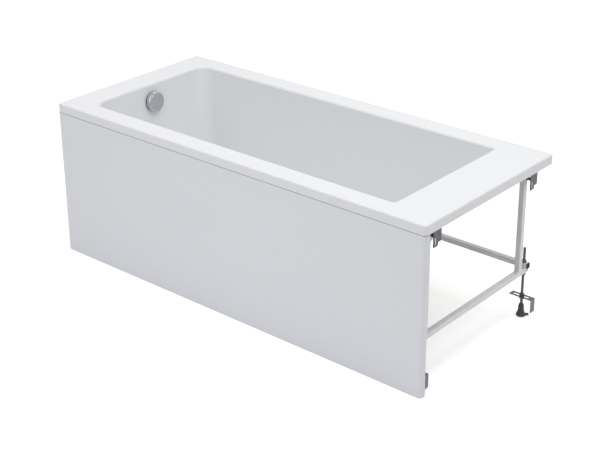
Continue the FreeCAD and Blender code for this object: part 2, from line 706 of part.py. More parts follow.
def right_panel_angle():
    """Shorter slotted angle on a front leg; its flange stands behind the panel."""
    angle = slotted_angle(PANEL_ANGLE_LENGTH, PANEL_ANGLE_SLOT_END)
    angle.rotate(ORIGIN, Z_AXIS, -90)
    inner_end = PANEL_BACK + PANEL_ANGLE_GAP + PANEL_ANGLE_LENGTH
    angle.translate(V(END_STATION, inner_end, FRONT_ANGLE_TOP + ANGLE_THICKNESS))
    return angle


def right_angle_nuts(leg_y, top, plates):
    """Nuts above and below a leg's slotted angles."""
    return [hex_nut(END_STATION, leg_y, top),
            hex_nut(END_STATION, leg_y, top - plates * ANGLE_THICKNESS - NUT_HEIGHT)]


# ---------------------------------------------------------------- overflow with turning knob


def on_overflow(shape):
    """Carry a form built along +Z from 0 to the overflow's axis, its +X side kept upright."""
    lie_down = FreeCAD.Rotation(Y_AXIS, 90 - END_WALL_ANGLE)
    shape.Placement = FreeCAD.Placement(overflow_point(0), lie_down).multiply(shape.Placement)
    return shape


def overflow_knob():
    """Round cap with a crowned face and two finger notches, hollow behind, on a central boss."""
    cap = revolved(((0, KNOB_BACK), (KNOB_RADIUS - 1.5, KNOB_BACK), (KNOB_RADIUS, KNOB_BACK + 2),
                    (KNOB_RADIUS, KNOB_FRONT - 5), (KNOB_RADIUS - 1, KNOB_FRONT - 2.4),
                    (KNOB_RADIUS - 3.5, KNOB_FRONT - 1), (KNOB_RADIUS / 2, KNOB_FRONT - 0.2), (0, KNOB_FRONT)))
    hollow_depth = KNOB_FRONT - KNOB_BACK - 2 * KNOB_WALL
    skirt_radius = KNOB_RADIUS - KNOB_WALL - 1.5
    cap = cap.cut(ring(skirt_radius, HUB_RADIUS, V(0, 0, KNOB_BACK), Z_AXIS, hollow_depth))
    notch_floor = KNOB_FRONT - KNOB_NOTCH_DEPTH
    backing_disc = cylinder(skirt_radius + 1, V(0, 0, notch_floor - KNOB_WALL), Z_AXIS, KNOB_NOTCH_DEPTH)
    for side in (-1, 1):
        middle = side * (KNOB_RADIUS + KNOB_NOTCH_RADIUS - KNOB_NOTCH_BITE)
        wall_radius = KNOB_NOTCH_RADIUS + KNOB_WALL
        backing = cylinder(wall_radius, V(middle, 0, KNOB_BACK), Z_AXIS, KNOB_FRONT).common(backing_disc)
        notch = cylinder(KNOB_NOTCH_RADIUS, V(middle, 0, notch_floor), Z_AXIS, 2 * KNOB_NOTCH_DEPTH)
        cap = cap.fuse(backing).cut(notch)
    cap = cap.cut(cylinder(SPINDLE_RADIUS, V(0, 0, KNOB_BACK), Z_AXIS, SPINDLE_SOCKET))
    return on_overflow(cap)


def overflow_spindle():
    """Shaft behind the knob, with the drum that winds the pull cable."""
    groove = (DRUM_BACK + DRUM_FRONT) / 2
    drum = revolved(((0, DRUM_BACK), (DRUM_RADIUS, DRUM_BACK), (DRUM_RADIUS, groove - 1.5),
                     (DRUM_RADIUS - 2, groove), (DRUM_RADIUS, groove + 1.5), (DRUM_RADIUS, DRUM_FRONT),
                     (0, DRUM_FRONT)))
    shaft = cylinder(SPINDLE_RADIUS, V(0, 0, groove), Z_AXIS, KNOB_BACK + SPINDLE_SOCKET - groove)
    return on_overflow(shaft.fuse(drum).removeSplitter())


def overflow_face_ring():
    """Ring on the basin wall: threaded neck through the hole, three spokes to the spindle's hub."""
    body = revolved(((NECK_BORE_RADIUS, -NECK_DEPTH), (NECK_RADIUS, -NECK_DEPTH), (NECK_RADIUS, 0),
                     (FACE_RING_RADIUS, 0), (FACE_RING_RADIUS, FACE_RING_DEPTH - FACE_RING_BEVEL),
                     (FACE_RING_RADIUS - FACE_RING_BEVEL, FACE_RING_DEPTH),
                     (NECK_BORE_RADIUS, FACE_RING_DEPTH)))
    bore = SPINDLE_RADIUS + RUNNING_CLEARANCE
    pieces = [body, ring(HUB_RADIUS, bore, V(0, 0, -FACE_RING_DEPTH), Z_AXIS, 2 * FACE_RING_DEPTH)]
    for angle in (90, 210, 330):
        spoke = box(HUB_RADIUS - 1.5, NECK_BORE_RADIUS + 1, -2, 2, -6, 2)
        spoke.rotate(ORIGIN, Z_AXIS, angle)
        pieces.append(spoke)
    return on_overflow(joined(pieces))


def overflow_gasket():
    """Rubber washer between the shell's outside and the overflow body."""
    return on_overflow(ring(GASKET_RADIUS, NECK_RADIUS, V(0, 0, GASKET_BACK), Z_AXIS, GASKET_THICKNESS))


def hose_top():
    """Where the hose leaves the overflow body."""
    return V(HOSE_X, 0, OVERFLOW_HEIGHT - HOSE_TOP_DROP)


def cable_top():
    """Where the pull cable leaves the overflow body, beside the hose."""
    return V(HOSE_X, CABLE_Y, OVERFLOW_HEIGHT - CABLE_TOP_DROP)


def overflow_body():
    """Housing behind the wall: screwed round the neck, with a hose port and a cable port below."""
    back = GASKET_BACK - OVERFLOW_BODY_DEPTH
    inner_radius = OVERFLOW_BODY_RADIUS - HOUSING_WALL
    neck_stop = -NECK_DEPTH - 1
    outside = revolved(((0, back), (inner_radius, back), (OVERFLOW_BODY_RADIUS, back + HOUSING_WALL),
                        (OVERFLOW_BODY_RADIUS, GASKET_BACK - HOUSING_FLANGE),
                        (GASKET_RADIUS, GASKET_BACK - HOUSING_FLANGE), (GASKET_RADIUS, GASKET_BACK),
                        (0, GASKET_BACK)))
    inside = revolved(((0, back + HOUSING_WALL), (inner_radius, back + HOUSING_WALL),
                       (inner_radius, neck_stop), (NECK_RADIUS, neck_stop), (NECK_RADIUS, GASKET_BACK),
                       (0, GASKET_BACK)))
    hose_port = cylinder(HOSE_RADIUS + 2, hose_top(), Z_AXIS, HOSE_TOP_DROP - 12)
    cable_port = cylinder(CABLE_RADIUS + 2, cable_top(), Z_AXIS, CABLE_TOP_DROP - 10)
    hose_bore = cylinder(HOSE_BORE_RADIUS, hose_top(), Z_AXIS, HOSE_TOP_DROP - 7)
    cable_bore = cylinder(CABLE_RADIUS, cable_top(), Z_AXIS, CABLE_TOP_DROP - 8)
    in_front = on_overflow(cylinder(4 * GASKET_RADIUS, V(0, 0, GASKET_BACK), Z_AXIS, 2 * GASKET_RADIUS))
    ports = hose_port.fuse(cable_port).cut(in_front)
    housing = on_overflow(outside).fuse(ports).removeSplitter()
    return housing.cut(on_overflow(inside)).cut(hose_bore).cut(cable_bore)


def overflow_hose():
    """Hose down behind the end wall and under the basin to the waste body."""
    bend = V(HOSE_X, 0, HOSE_PORT_HEIGHT)
    return swept_tube([hose_top(), bend, hose_port_end()], [HOSE_BEND_RADIUS], HOSE_RADIUS, HOSE_BORE_RADIUS)


def pull_cable():
    """Sheathed cable from the drum to the lift lever, down beside the hose."""
    end = cable_port_end()
    low = V(HOSE_X, CABLE_Y, end.z)
    near = V(end.x - 62, CABLE_Y, end.z)
    beside = end - X_AXIS * 28
    bends = [CABLE_BEND_RADIUS, CABLE_SIDE_BEND_RADIUS, CABLE_SIDE_BEND_RADIUS]
    return swept_tube([cable_top(), low, near, beside, end], bends, CABLE_RADIUS, 0)


# ---------------------------------------------------------------- waste with pop-up plug


def drain_point(height):
    """Point on the drain's own axis."""
    return V(DRAIN_X, 0, height)


def hose_port_end():
    """Where the overflow hose meets the waste body."""
    return drain_point(HOSE_PORT_HEIGHT) - X_AXIS * (WASTE_BODY_RADIUS + HOSE_PORT_LENGTH)


def cable_port_end():
    """Where the pull cable enters the waste body, beside and below the hose."""
    aside = V(-WASTE_BODY_RADIUS - CABLE_PORT_LENGTH, LEVER_TIP_RADIUS + 12, -CABLE_PORT_DROP)
    return drain_point(HOSE_PORT_HEIGHT) + aside


def waste_flange():
    """Drain ring on the basin floor: dished seat, threaded throat, cross with the plug's guide."""
    low = FLOOR_TOP - FLANGE_NECK_LENGTH
    body = revolved(((THROAT_RADIUS, low), (NECK_RADIUS, low), (NECK_RADIUS, FLOOR_TOP),
                     (FLANGE_RADIUS, FLOOR_TOP), (FLANGE_RADIUS - FLANGE_BEVEL, PLUG_SEAT),
                     (DISH_RADIUS, PLUG_SEAT), (THROAT_RADIUS + 2, FLOOR_TOP + 0.5),
                     (THROAT_RADIUS, FLOOR_TOP - 3)), drain_point(0))
    bore = SPINDLE_RADIUS + RUNNING_CLEARANCE
    pieces = [body, ring(HUB_RADIUS - 1, bore, drain_point(low), Z_AXIS, GUIDE_HEIGHT)]
    for angle in (0, 90, 180, 270):
        spoke = box(HUB_RADIUS - 2.5, THROAT_RADIUS + 1, -1.5, 1.5, 0, SPOKE_HEIGHT)
        spoke.rotate(ORIGIN, Z_AXIS, angle)
        spoke.translate(drain_point(low))
        pieces.append(spoke)
    return joined(pieces)


def waste_gasket():
    """Rubber washer between the shell's underside and the waste body."""
    below = drain_point(FLOOR_UNDERSIDE - GASKET_THICKNESS)
    return ring(GASKET_RADIUS, NECK_RADIUS, below, Z_AXIS, GASKET_THICKNESS)


def lever_pivot():
    """Middle of the lift lever's pin, to the left of the drain's axis."""
    return drain_point(LEVER_PIVOT_HEIGHT) - X_AXIS * LEVER_REACH


def waste_body():
    """Housing under the drain: chamber for the lift lever, side ports for hose and cable, tail."""
    top = FLOOR_UNDERSIDE - GASKET_THICKNESS
    flange_bottom = top - HOUSING_FLANGE
    chamber_top = FLOOR_TOP - FLANGE_NECK_LENGTH - 1
    outside = revolved(((0, TAIL_BOTTOM), (TAIL_RADIUS, TAIL_BOTTOM), (TAIL_RADIUS, CHAMBER_BOTTOM),
                        (WASTE_BODY_RADIUS, CHAMBER_BOTTOM + 2), (WASTE_BODY_RADIUS, flange_bottom),
                        (GASKET_RADIUS, flange_bottom), (GASKET_RADIUS, top), (0, top)), drain_point(0))
    inside = revolved(((0, TAIL_BOTTOM), (THROAT_RADIUS, TAIL_BOTTOM), (THROAT_RADIUS, CHAMBER_BOTTOM),
                       (CHAMBER_RADIUS, CHAMBER_BOTTOM + 2), (CHAMBER_RADIUS, chamber_top),
                       (NECK_RADIUS, chamber_top), (NECK_RADIUS, top), (0, top)), drain_point(0))
    hose_port = cylinder(HOSE_RADIUS, hose_port_end(), X_AXIS, HOSE_PORT_LENGTH + 18)
    cable_port = cylinder(CABLE_RADIUS + 2, cable_port_end(), X_AXIS, CABLE_PORT_LENGTH + 12)
    body = outside.fuse(hose_port).fuse(cable_port).removeSplitter().cut(inside)
    body = body.cut(cylinder(HOSE_BORE_RADIUS, hose_port_end(), X_AXIS, HOSE_PORT_LENGTH + 24))
    body = body.cut(cylinder(CABLE_RADIUS - 1, cable_port_end(), X_AXIS, CABLE_PORT_LENGTH + 16))
    pin_bore_start = lever_pivot() - Y_AXIS * (LEVER_PIN_HALF + 1)
    pin_bore = cylinder(LEVER_PIN_RADIUS + RUNNING_CLEARANCE, pin_bore_start, Y_AXIS, 2 * (LEVER_PIN_HALF + 1))
    return body.cut(pin_bore)


def lift_lever():
    """Rocker under the plug's stem, on a pin held in the waste body's walls, tip down at rest."""
    swing = math.degrees(math.asin(PLUG_LIFT / 2 / LEVER_REACH))
    hub = cylinder(LEVER_HUB_RADIUS, V(0, -6, 0), Y_AXIS, 12)
    pin = cylinder(LEVER_PIN_RADIUS, V(0, -LEVER_PIN_HALF, 0), Y_AXIS, 2 * LEVER_PIN_HALF)
    arm = box(0, LEVER_REACH, -4, 4, -LEVER_ARM_HALF, LEVER_ARM_HALF)
    tip = cylinder(LEVER_TIP_RADIUS, V(LEVER_REACH, -4, 0), Y_AXIS, 8)
    lever = joined([hub, pin, arm, tip])
    lever.rotate(ORIGIN, Y_AXIS, swing)
    lever.translate(lever_pivot())
    return lever


def pop_up_plug():
    """Domed plug with a neck for its seal, on a stem that runs in the flange's guide."""
    neck_bottom = PLUG_BASE - PLUG_NECK_DEPTH
    head = revolved(((0, neck_bottom), (PLUG_NECK_RADIUS, neck_bottom), (PLUG_NECK_RADIUS, PLUG_BASE),
                     (PLUG_RADIUS, PLUG_BASE + 1.2), (PLUG_RADIUS, PLUG_BASE + 2.7),
                     (PLUG_RADIUS - 5, PLUG_BASE + PLUG_CROWN - 1.4),
                     (PLUG_RADIUS / 2, PLUG_BASE + PLUG_CROWN - 0.4), (0, PLUG_BASE + PLUG_CROWN)),
                    drain_point(0))
    stem = cylinder(SPINDLE_RADIUS, drain_point(STEM_BOTTOM), Z_AXIS, PLUG_BASE - STEM_BOTTOM)
    return head.fuse(stem).removeSplitter()


def plug_seal():
    """Rubber ring round the plug's neck, tapered like the flange's dish just outside it."""
    return revolved(((PLUG_NECK_RADIUS, PLUG_BASE - 1.6), (THROAT_RADIUS + 3.5, PLUG_BASE - 1.6),
                     (THROAT_RADIUS + 7, PLUG_BASE - 0.4), (PLUG_NECK_RADIUS, PLUG_BASE - 0.2)), drain_point(0))


# ---------------------------------------------------------------- trap


def trap_pipe():
    """P-trap: flanged inlet, U-bend, rise and level outlet towards the wall side."""
    low = TRAP_BEND_HEIGHT - TRAP_BEND_RADIUS
    rise = V(0, 2 * TRAP_BEND_RADIUS, 0)
    route = [drain_point(TAIL_BOTTOM), drain_point(low), drain_point(low) + rise,
             drain_point(OUTLET_HEIGHT) + rise, V(DRAIN_X, OUTLET_REACH, OUTLET_HEIGHT)]
    u_bend = TRAP_BEND_RADIUS - 0.01
    pipe = swept_tube(route, [u_bend, u_bend, OUTLET_BEND_RADIUS], TRAP_RADIUS, TRAP_BORE_RADIUS)
    flange = ring(TAIL_RADIUS, TRAP_BORE_RADIUS, drain_point(TAIL_BOTTOM - TRAP_FLANGE), Z_AXIS, TRAP_FLANGE)
    return pipe.fuse(flange).removeSplitter()


def trap_nut():
    """Ribbed union nut that holds the trap's flange against the waste body's tail."""
    top = CHAMBER_BOTTOM - 2
    ledge = TAIL_BOTTOM - TRAP_FLANGE
    low = ledge - 3
    bore = TRAP_RADIUS + 0.1
    outer = TAIL_RADIUS + 5
    nut = revolved(((bore, low), (outer - 1, low), (outer, low + 1), (outer, top), (TAIL_RADIUS, top),
                    (TAIL_RADIUS, ledge), (bore, ledge)), drain_point(0))
    ribs = []
    for k in range(NUT_RIBS):
        rib = box(outer - 1, outer + 2, -2.5, 2.5, ledge, top)
        rib.rotate(ORIGIN, Z_AXIS, 360 / NUT_RIBS * k)
        rib.translate(drain_point(0))
        ribs.append(rib)
    return joined([nut] + ribs)


# ---------------------------------------------------------------- export


def leg_pieces():
    """Each leg's pieces, built at the right end and mirrored to the left."""
    pieces = {}
    back = {
        "leg_rod": right_leg_rod(BACK_LEG_Y),
        "leg_foot": right_leg_foot(BACK_LEG_Y, True),
        "end_angle": right_end_angle(BACK_LEG_Y, BACK_ANGLE_TOP, BACK_ANGLE_END_GAP),
        "angle_nuts": Part.makeCompound(right_angle_nuts(BACK_LEG_Y, BACK_ANGLE_TOP, 1)),
    }
    front_top = FRONT_ANGLE_TOP + ANGLE_THICKNESS
    front = {
        "leg_rod": right_leg_rod(FRONT_LEG_Y),
        "leg_foot": right_leg_foot(FRONT_LEG_Y, False),
        "end_angle": right_end_angle(FRONT_LEG_Y, FRONT_ANGLE_TOP, FRONT_ANGLE_END_GAP),
        "panel_angle": right_panel_angle(),
        "angle_nuts": Part.makeCompound(right_angle_nuts(FRONT_LEG_Y, front_top, 2)),
    }
    for row, built in (("back", back), ("front", front)):
        for name, shape in built.items():
            pieces[f"{name}_{row}_right"] = shape
            pieces[f"{name}_{row}_left"] = mirrored_in_x(shape)
    return pieces


def frame_pieces():
    """Rails and posts by name."""
    pieces = {
        "long_rail_front": long_rail(FRONT_LEG_Y),
        "long_rail_back": long_rail(BACK_LEG_Y),
        "cross_rail_left": cross_rail(-END_STATION),
        "cross_rail_inner_left": cross_rail(INNER_STATIONS[0]),
        "cross_rail_inner_right": cross_rail(INNER_STATIONS[1]),
        "cross_rail_right": cross_rail(END_STATION),
        "rail_end_caps": Part.makeCompound(rail_end_caps()),
        "rail_nuts": Part.makeCompound(rail_nuts()),
    }
    for row, post_y in (("back", BACK_POST_Y), ("front", FRONT_POST_Y)):
        pieces[f"post_{row}_right"] = post(END_STATION, post_y)
        pieces[f"post_{row}_left"] = post(-END_STATION, post_y)
    return pieces


def rim_pieces():
    """Battens and rim brackets by name."""
    pieces = {
        "rim_batten_front": side_batten(-1),
        "rim_batten_back": side_batten(1),
        "rim_batten_right": right_end_batten(),
        "rim_batten_left": mirrored_in_x(right_end_batten()),
        "rim_screws": Part.makeCompound(rim_screws()),
    }
    for row, bracket_y in (("back", BACK_BRACKET_Y), ("front", FRONT_BRACKET_Y)):
        bracket = right_rim_bracket(bracket_y)
        pieces[f"rim_bracket_{row}_right"] = bracket
        pieces[f"rim_bracket_{row}_left"] = mirrored_in_x(bracket)
    return pieces


def all_pieces():
    """Every piece by its name."""
    pieces = {
        "tub_shell": tub_shell(),
        "base_board": base_board(),
        "board_screws": Part.makeCompound(board_screws()),
        "front_panel": front_panel(),
        "panel_clips": Part.makeCompound(panel_clips()),
        "overflow_knob": overflow_knob(),
        "overflow_spindle": overflow_spindle(),
        "overflow_face_ring": overflow_face_ring(),
        "overflow_gasket": overflow_gasket(),
        "overflow_body": overflow_body(),
        "overflow_hose": overflow_hose(),
        "pull_cable": pull_cable(),
        "waste_flange": waste_flange(),
        "waste_gasket": waste_gasket(),
        "waste_body": waste_body(),
        "lift_lever": lift_lever(),
        "pop_up_plug": pop_up_plug(),
        "plug_seal": plug_seal(),
        "trap_pipe": trap_pipe(),
        "trap_nut": trap_nut(),
    }
    pieces.update(rim_pieces())
    pieces.update(frame_pieces())
    pieces.update(leg_pieces())
    return pieces


os.makedirs("parts", exist_ok=True)
for node, piece in all_pieces().items():
    piece.exportStep(f"parts/{node}.step")
    print(f"{node}: {len(piece.Solids)} solid(s), {piece.Volume / 1000:.1f} cm3, valid {piece.isValid()}")
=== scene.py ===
"""Looks of the alcove bathtub: acrylic tub and panel, painted steel frame, zinc legs, chrome knob.

Metres, in the part's own frame: +X runs to the backrest end, -Y is the panelled front, +Z is up.
"""
import bmesh
import bpy
import json
import math
from mathutils import Matrix, Vector


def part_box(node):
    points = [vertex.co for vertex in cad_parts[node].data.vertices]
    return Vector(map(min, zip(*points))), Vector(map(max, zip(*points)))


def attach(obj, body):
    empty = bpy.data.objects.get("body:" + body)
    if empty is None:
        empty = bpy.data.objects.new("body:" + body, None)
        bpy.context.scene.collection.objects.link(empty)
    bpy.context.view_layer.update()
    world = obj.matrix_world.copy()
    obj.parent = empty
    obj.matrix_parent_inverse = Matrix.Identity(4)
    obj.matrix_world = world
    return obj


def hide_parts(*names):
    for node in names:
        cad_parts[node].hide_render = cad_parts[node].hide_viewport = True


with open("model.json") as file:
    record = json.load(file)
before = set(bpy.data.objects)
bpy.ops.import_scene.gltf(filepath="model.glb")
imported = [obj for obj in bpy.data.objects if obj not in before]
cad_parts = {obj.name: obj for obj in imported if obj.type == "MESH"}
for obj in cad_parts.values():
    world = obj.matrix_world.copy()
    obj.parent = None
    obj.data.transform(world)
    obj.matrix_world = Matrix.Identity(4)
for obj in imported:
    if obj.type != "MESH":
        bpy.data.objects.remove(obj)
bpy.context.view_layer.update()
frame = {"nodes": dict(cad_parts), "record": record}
nodes = frame["nodes"]

# ---------------------------------------------------------------- dimensions, in metres

LEG_CORNERS = ("back_right", "back_left", "front_right", "front_left")

ROD_RADIUS = 0.005
ROD_CHAMFER = 0.0012
ROD_CHAMFER_SLOPE = 0.8
THREAD_PITCH = 0.0015
THREAD_DEPTH = 0.0009
THREAD_ROWS = 4             # rows of points in one pitch
THREAD_SIDES = 24

HOSE_RADIUS = 0.016
HOSE_BEND_RADIUS = 0.06
HOSE_RIB_PITCH = 0.0055
HOSE_RIB_DEPTH = 0.0022
HOSE_RIB_ROWS = 8           # rows of points in one pitch
HOSE_CUFF = 0.022           # length of the plain cuff at each end
HOSE_CUFF_INSET = 0.0004
HOSE_SIDES = 28

KNOB_RADIUS = 0.0405
KNOB_BACK = 0.0075          # heights along the knob's axis, from its joint
KNOB_FRONT = 0.025
KNOB_WALL = 0.0025
KNOB_BOSS = 0.008
KNOB_INNER_CHAMFER = 0.002
KNOB_SKIRT_CHAMFER = 0.0006
KNOB_HEEL_CHAMFER = 0.0008
KNOB_HEEL_RISE = 0.0009
KNOB_EDGE_ROLL = 0.007
KNOB_ROLL_STEPS = 8
KNOB_CROWN = 0.0014
KNOB_SIDES = 96
KNOB_SOFT_WIDTH = 0.0005    # of the bevel round the notches
KNOB_SOFT_STEPS = 3
KNOB_SOFT_ANGLE = math.radians(40)
KNOB_SHARP_ANGLE = math.radians(35)

NOTCH_RADIUS = 0.014
NOTCH_BITE = 0.0085
NOTCH_DEPTH = 0.007
NOTCH_TURN = math.radians(32)
NOTCH_CUTTER_TOP = 0.04
NOTCH_SIDES = 64

WELD_RADIUS = 0.0022
WELD_RIPPLE = 0.18          # share of the radius
WELD_RIPPLE_PITCH = 0.003
WELD_RIPPLE_ROWS = 6
WELD_LAST_SHARE = 0.8
WELD_SIDES = 10
WELD_INSET = 0.0006         # from the post's faces
WELD_STOP = 0.001           # short of the post's corners
WELD_RISE = 0.0004

RESIN_RADIUS = 0.006
RESIN_SHARE = 0.86          # of the radius, between the lumps
RESIN_LUMP_SHARE = 0.55
RESIN_LUMPS = ((61, 0.14), (173, 0.1))   # wave number along the bead, height
RESIN_STEP = 0.006
RESIN_TAPER_ROWS = 3
RESIN_TAPER_START = 0.35
RESIN_SIDES = 12
RESIN_DROP = 0.0035         # below the deck's underside
RESIN_STOP = 0.01           # short of a long batten's ends
RESIN_CROSS_ENDS = (-0.255, 0.235)

SCREW_RADIUS = 0.002
SCREW_CORE_SHARE = 0.72
SCREW_PITCH = 0.0014
SCREW_THREAD_START = 0.0004
SCREW_THREAD_STOP = 0.002   # short of the tip
SCREW_TIP = ((0.7, 0.0018), (0.12, 0.0002))             # share of the radius, short of the tip
SCREW_HEAD_RADIUS = 0.004
SCREW_HEAD_HEIGHT = 0.0025
SCREW_HEAD_CURVE = ((0.6, 1.0), (0.88, 0.82), (1.0, 0.4), (1.0, 0.0))     # shares of both
SCREW_SIDES = 16
SCREW_TURN = 0.7            # radians from one screw to the next
RECESS_RADIUS = 0.0019
RECESS_FLOOR_RADIUS = 0.0018
RECESS_DEPTH = 0.0012
RECESS_WAIST = 0.35         # share of the radius between the arms of the cross
RECESS_EDGE_ROW = 1

BASIN_WIDTH_SHARE = 0.42    # of the basin's length
LIP_INNER_X = 0.835
LIP_INNER_Y = 0.355
LEVEL_FACE = 0.75           # vertical part of a face's direction, above which it lies level
UNDER_FACE = -0.2           # and below which it looks down
SEAM_SHADE_FACE = 0.7             # and above which the panel's top edge takes painted shade, for the seam under the lip
SAME_POINT = 1e-6
SAME_PLACE_DIGITS = 4

# ---------------------------------------------------------------- camera and studio values

CAMERA_PLACE = Vector((2.92302, -3.38223, 2.34427))
CAMERA_LOOK = Vector((-0.597976, 0.699412, -0.391468))
CAMERA_ROLL = math.radians(-0.4087)
CAMERA_LENS = 80.168        # millimetres, as the sensor
CAMERA_SENSOR = 36.0
CAMERA_NEAR = 0.05
CAMERA_FAR = 60.0
CAMERA_DROP = -55 / 600

FLOOR_HALF_SIZE = 30.0
FLOOR_GLOW = 0.5
WORLD_FILL = 0.475
WORLD_LOW_SHARE = 0.4       # of the fill, from just under the horizon
WORLD_HIGH_SHARE = 1.8      # of the fill, from straight above
LAMPS = (                   # name, place, target, size, power in watts
    ("top", (0.5, 0.0, 3.8), (0.1, 0.0, 0.4), 3.2, 41.0),
    ("front", (0.15, -2.3, 1.2), (0.1, -0.375, 0.35), 1.0, 3.8),
    ("end", (1.7, 0.0, 3.8), (0.9, 0.0, 0.2), 1.0, 11.0),
    ("left", (-2.4, -2.0, 2.8), (0.2, 0.3, 0.4), 1.6, 5.0),
)


def photographer():
    """Camera at the photograph's place and angle."""
    data = bpy.data.cameras.new("photographer")
    data.lens = CAMERA_LENS
    data.sensor_width = CAMERA_SENSOR
    data.sensor_fit = "HORIZONTAL"
    data.shift_y = CAMERA_DROP
    data.clip_start = CAMERA_NEAR
    data.clip_end = CAMERA_FAR
    camera = bpy.data.objects.new("photographer", data)
    ahead = CAMERA_LOOK.normalized()
    right = ahead.cross(Vector((0, 0, 1))).normalized()
    up = right.cross(ahead)
    across = right * math.cos(CAMERA_ROLL) + up * math.sin(CAMERA_ROLL)
    over = up * math.cos(CAMERA_ROLL) - right * math.sin(CAMERA_ROLL)
    turn = Matrix((across, over, -ahead)).transposed()
    camera.matrix_world = Matrix.Translation(CAMERA_PLACE) @ turn.to_4x4()
    bpy.context.scene.collection.objects.link(camera)
    bpy.context.scene.camera = camera


# ---------------------------------------------------------------- shader helpers


def put(tree, kind, inputs=None, **settings):
    """A new node; each input is a number, a colour or another node's output."""
    node = tree.nodes.new(kind)
    for name, value in settings.items():
        setattr(node, name, value)
    for name, value in (inputs or {}).items():
        socket = node.inputs[name]
        if isinstance(value, bpy.types.NodeSocket):
            tree.links.new(value, socket)
        else:
            socket.default_value = value
    return node


def reckon(tree, operation, first, second=0.0, clamp=False):
    """One step of arithmetic."""
    node = put(tree, "ShaderNodeMath", {0: first, 1: second}, operation=operation, use_clamp=clamp)
    return node.outputs[0]


def times(tree, first, second, clamp=False):
    """One value times another."""
    return reckon(tree, "MULTIPLY", first, second, clamp)


def larger(tree, first, second):
    """The larger of two values; the first may be missing."""
    return second if first is None else reckon(tree, "MAXIMUM", first, second)


def ramp(tree, value, low, high, start=0.0, end=1.0):
    """The value's span from low to high, stretched from start to end."""
    node = put(tree, "ShaderNodeMapRange",
               {"Value": value, "From Min": low, "From Max": high, "To Min": start, "To Max": end})
    return node.outputs["Result"]


def blend(tree, factor, first, second):
    """A colour between two, each given as red, green and blue or as a node's output."""
    first, second = ((*side, 1.0) if isinstance(side, tuple) else side for side in (first, second))
    node = put(tree, "ShaderNodeMix", {0: factor, 6: first, 7: second}, data_type="RGBA")
    return node.outputs[2]


def spot(tree):
    """The place on the piece itself, in metres."""
    return put(tree, "ShaderNodeTexCoord").outputs["Object"]


def split(tree, vector):
    """The parts of a vector."""
    return put(tree, "ShaderNodeSeparateXYZ", {0: vector}).outputs


def facing(tree):
    """The parts of the surface's direction."""
    return split(tree, put(tree, "ShaderNodeNewGeometry").outputs["Normal"])


def stretched(tree, place, scale, turn=(0.0, 0.0, 0.0)):
    """The place turned and then scaled, so that a pattern runs along one direction."""
    turned = put(tree, "ShaderNodeMapping", {"Vector": place, "Rotation": turn}).outputs[0]
    return put(tree, "ShaderNodeMapping", {"Vector": turned, "Scale": scale}).outputs[0]


def noise(tree, place, scale, detail=2.0, roughness=0.5):
    """Cloudy value between 0 and 1."""
    node = put(tree, "ShaderNodeTexNoise",
               {"Vector": place, "Scale": scale, "Detail": detail, "Roughness": roughness})
    return node.outputs[0]


def eye_rays(tree):
    """1 for what the camera sees straight, in a mirror or through glass, and 0 for light."""
    seen = put(tree, "ShaderNodeLightPath").outputs
    direct = reckon(tree, "MAXIMUM", seen["Is Camera Ray"], seen["Is Glossy Ray"])
    return reckon(tree, "MAXIMUM", direct, seen["Is Transmission Ray"])


# ---------------------------------------------------------------- shared effects


def effect(name, inputs, output):
    """Empty node group with named inputs and one named output."""
    tree = bpy.data.node_groups.new(name, "ShaderNodeTree")
    for label, value in inputs.items():
        socket = tree.interface.new_socket(label, in_out="INPUT", socket_type="NodeSocketFloat")
        socket.default_value = value
    tree.interface.new_socket(output, in_out="OUTPUT", socket_type="NodeSocketFloat")
    entry = tree.nodes.new("NodeGroupInput")
    leave = tree.nodes.new("NodeGroupOutput")
    return tree, entry.outputs, leave.inputs


def mottle_effect():
    """Slow, cloudy change over a surface, as moulded and painted faces have."""
    tree, given, result = effect("Mottle", {"Scale": 6.0, "Contrast": 2.0}, "Mask")
    cloud = noise(tree, spot(tree), given["Scale"], 4.0, 0.55)
    centred = reckon(tree, "SUBTRACT", cloud, 0.5)
    steeper = times(tree, centred, given["Contrast"])
    tree.links.new(reckon(tree, "ADD", steeper, 0.5, clamp=True), result["Mask"])
    return tree


def peel_effect():
    """Fine waviness of sprayed paint and formed acrylic, with a broader sag under it."""
    tree, given, result = effect(
        "Orange peel", {"Scale": 300.0, "Broad": 9.0, "Broad share": 0.5}, "Height")
    place = spot(tree)
    fine = noise(tree, place, given["Scale"], 1.0, 0.4)
    broad = noise(tree, place, given["Broad"], 1.0, 0.4)
    broad = times(tree, broad, given["Broad share"])
    tree.links.new(reckon(tree, "ADD", fine, broad), result["Height"])
    return tree


def edge_effect():
    """Edge mask where the surface turns within a small width, broken up by grit: rubbed wear on the
    zinc and plastic, painted highlight on the frame's paint.
    """
    tree, given, result = effect(
        "Rubbed edges and edge highlights", {"Width": 0.001, "Grit": 400.0, "Reach": 1.0}, "Mask")
    rounded = put(tree, "ShaderNodeBevel", {"Radius": given["Width"]}, samples=4).outputs[0]
    flat = put(tree, "ShaderNodeNewGeometry").outputs["Normal"]
    along = put(tree, "ShaderNodeVectorMath", {0: rounded, 1: flat}, operation="DOT_PRODUCT")
    turned = ramp(tree, along.outputs["Value"], 0.995, 0.85)
    grit = ramp(tree, noise(tree, spot(tree), given["Grit"], 3.0, 0.6), 0.3, 0.6)
    worn = times(tree, turned, grit)
    tree.links.new(times(tree, worn, given["Reach"], clamp=True), result["Mask"])
    return tree


def dust_effect():
    """Thin dust that settles on faces that look up."""
    tree, given, result = effect("Settled dust", {"Scale": 40.0, "Amount": 0.3}, "Mask")
    upward = ramp(tree, facing(tree)["Z"], 0.3, 0.95)
    specks = ramp(tree, noise(tree, spot(tree), given["Scale"], 6.0, 0.7), 0.35, 0.75)
    laid = times(tree, upward, specks)
    tree.links.new(times(tree, laid, given["Amount"], clamp=True), result["Mask"])
    return tree


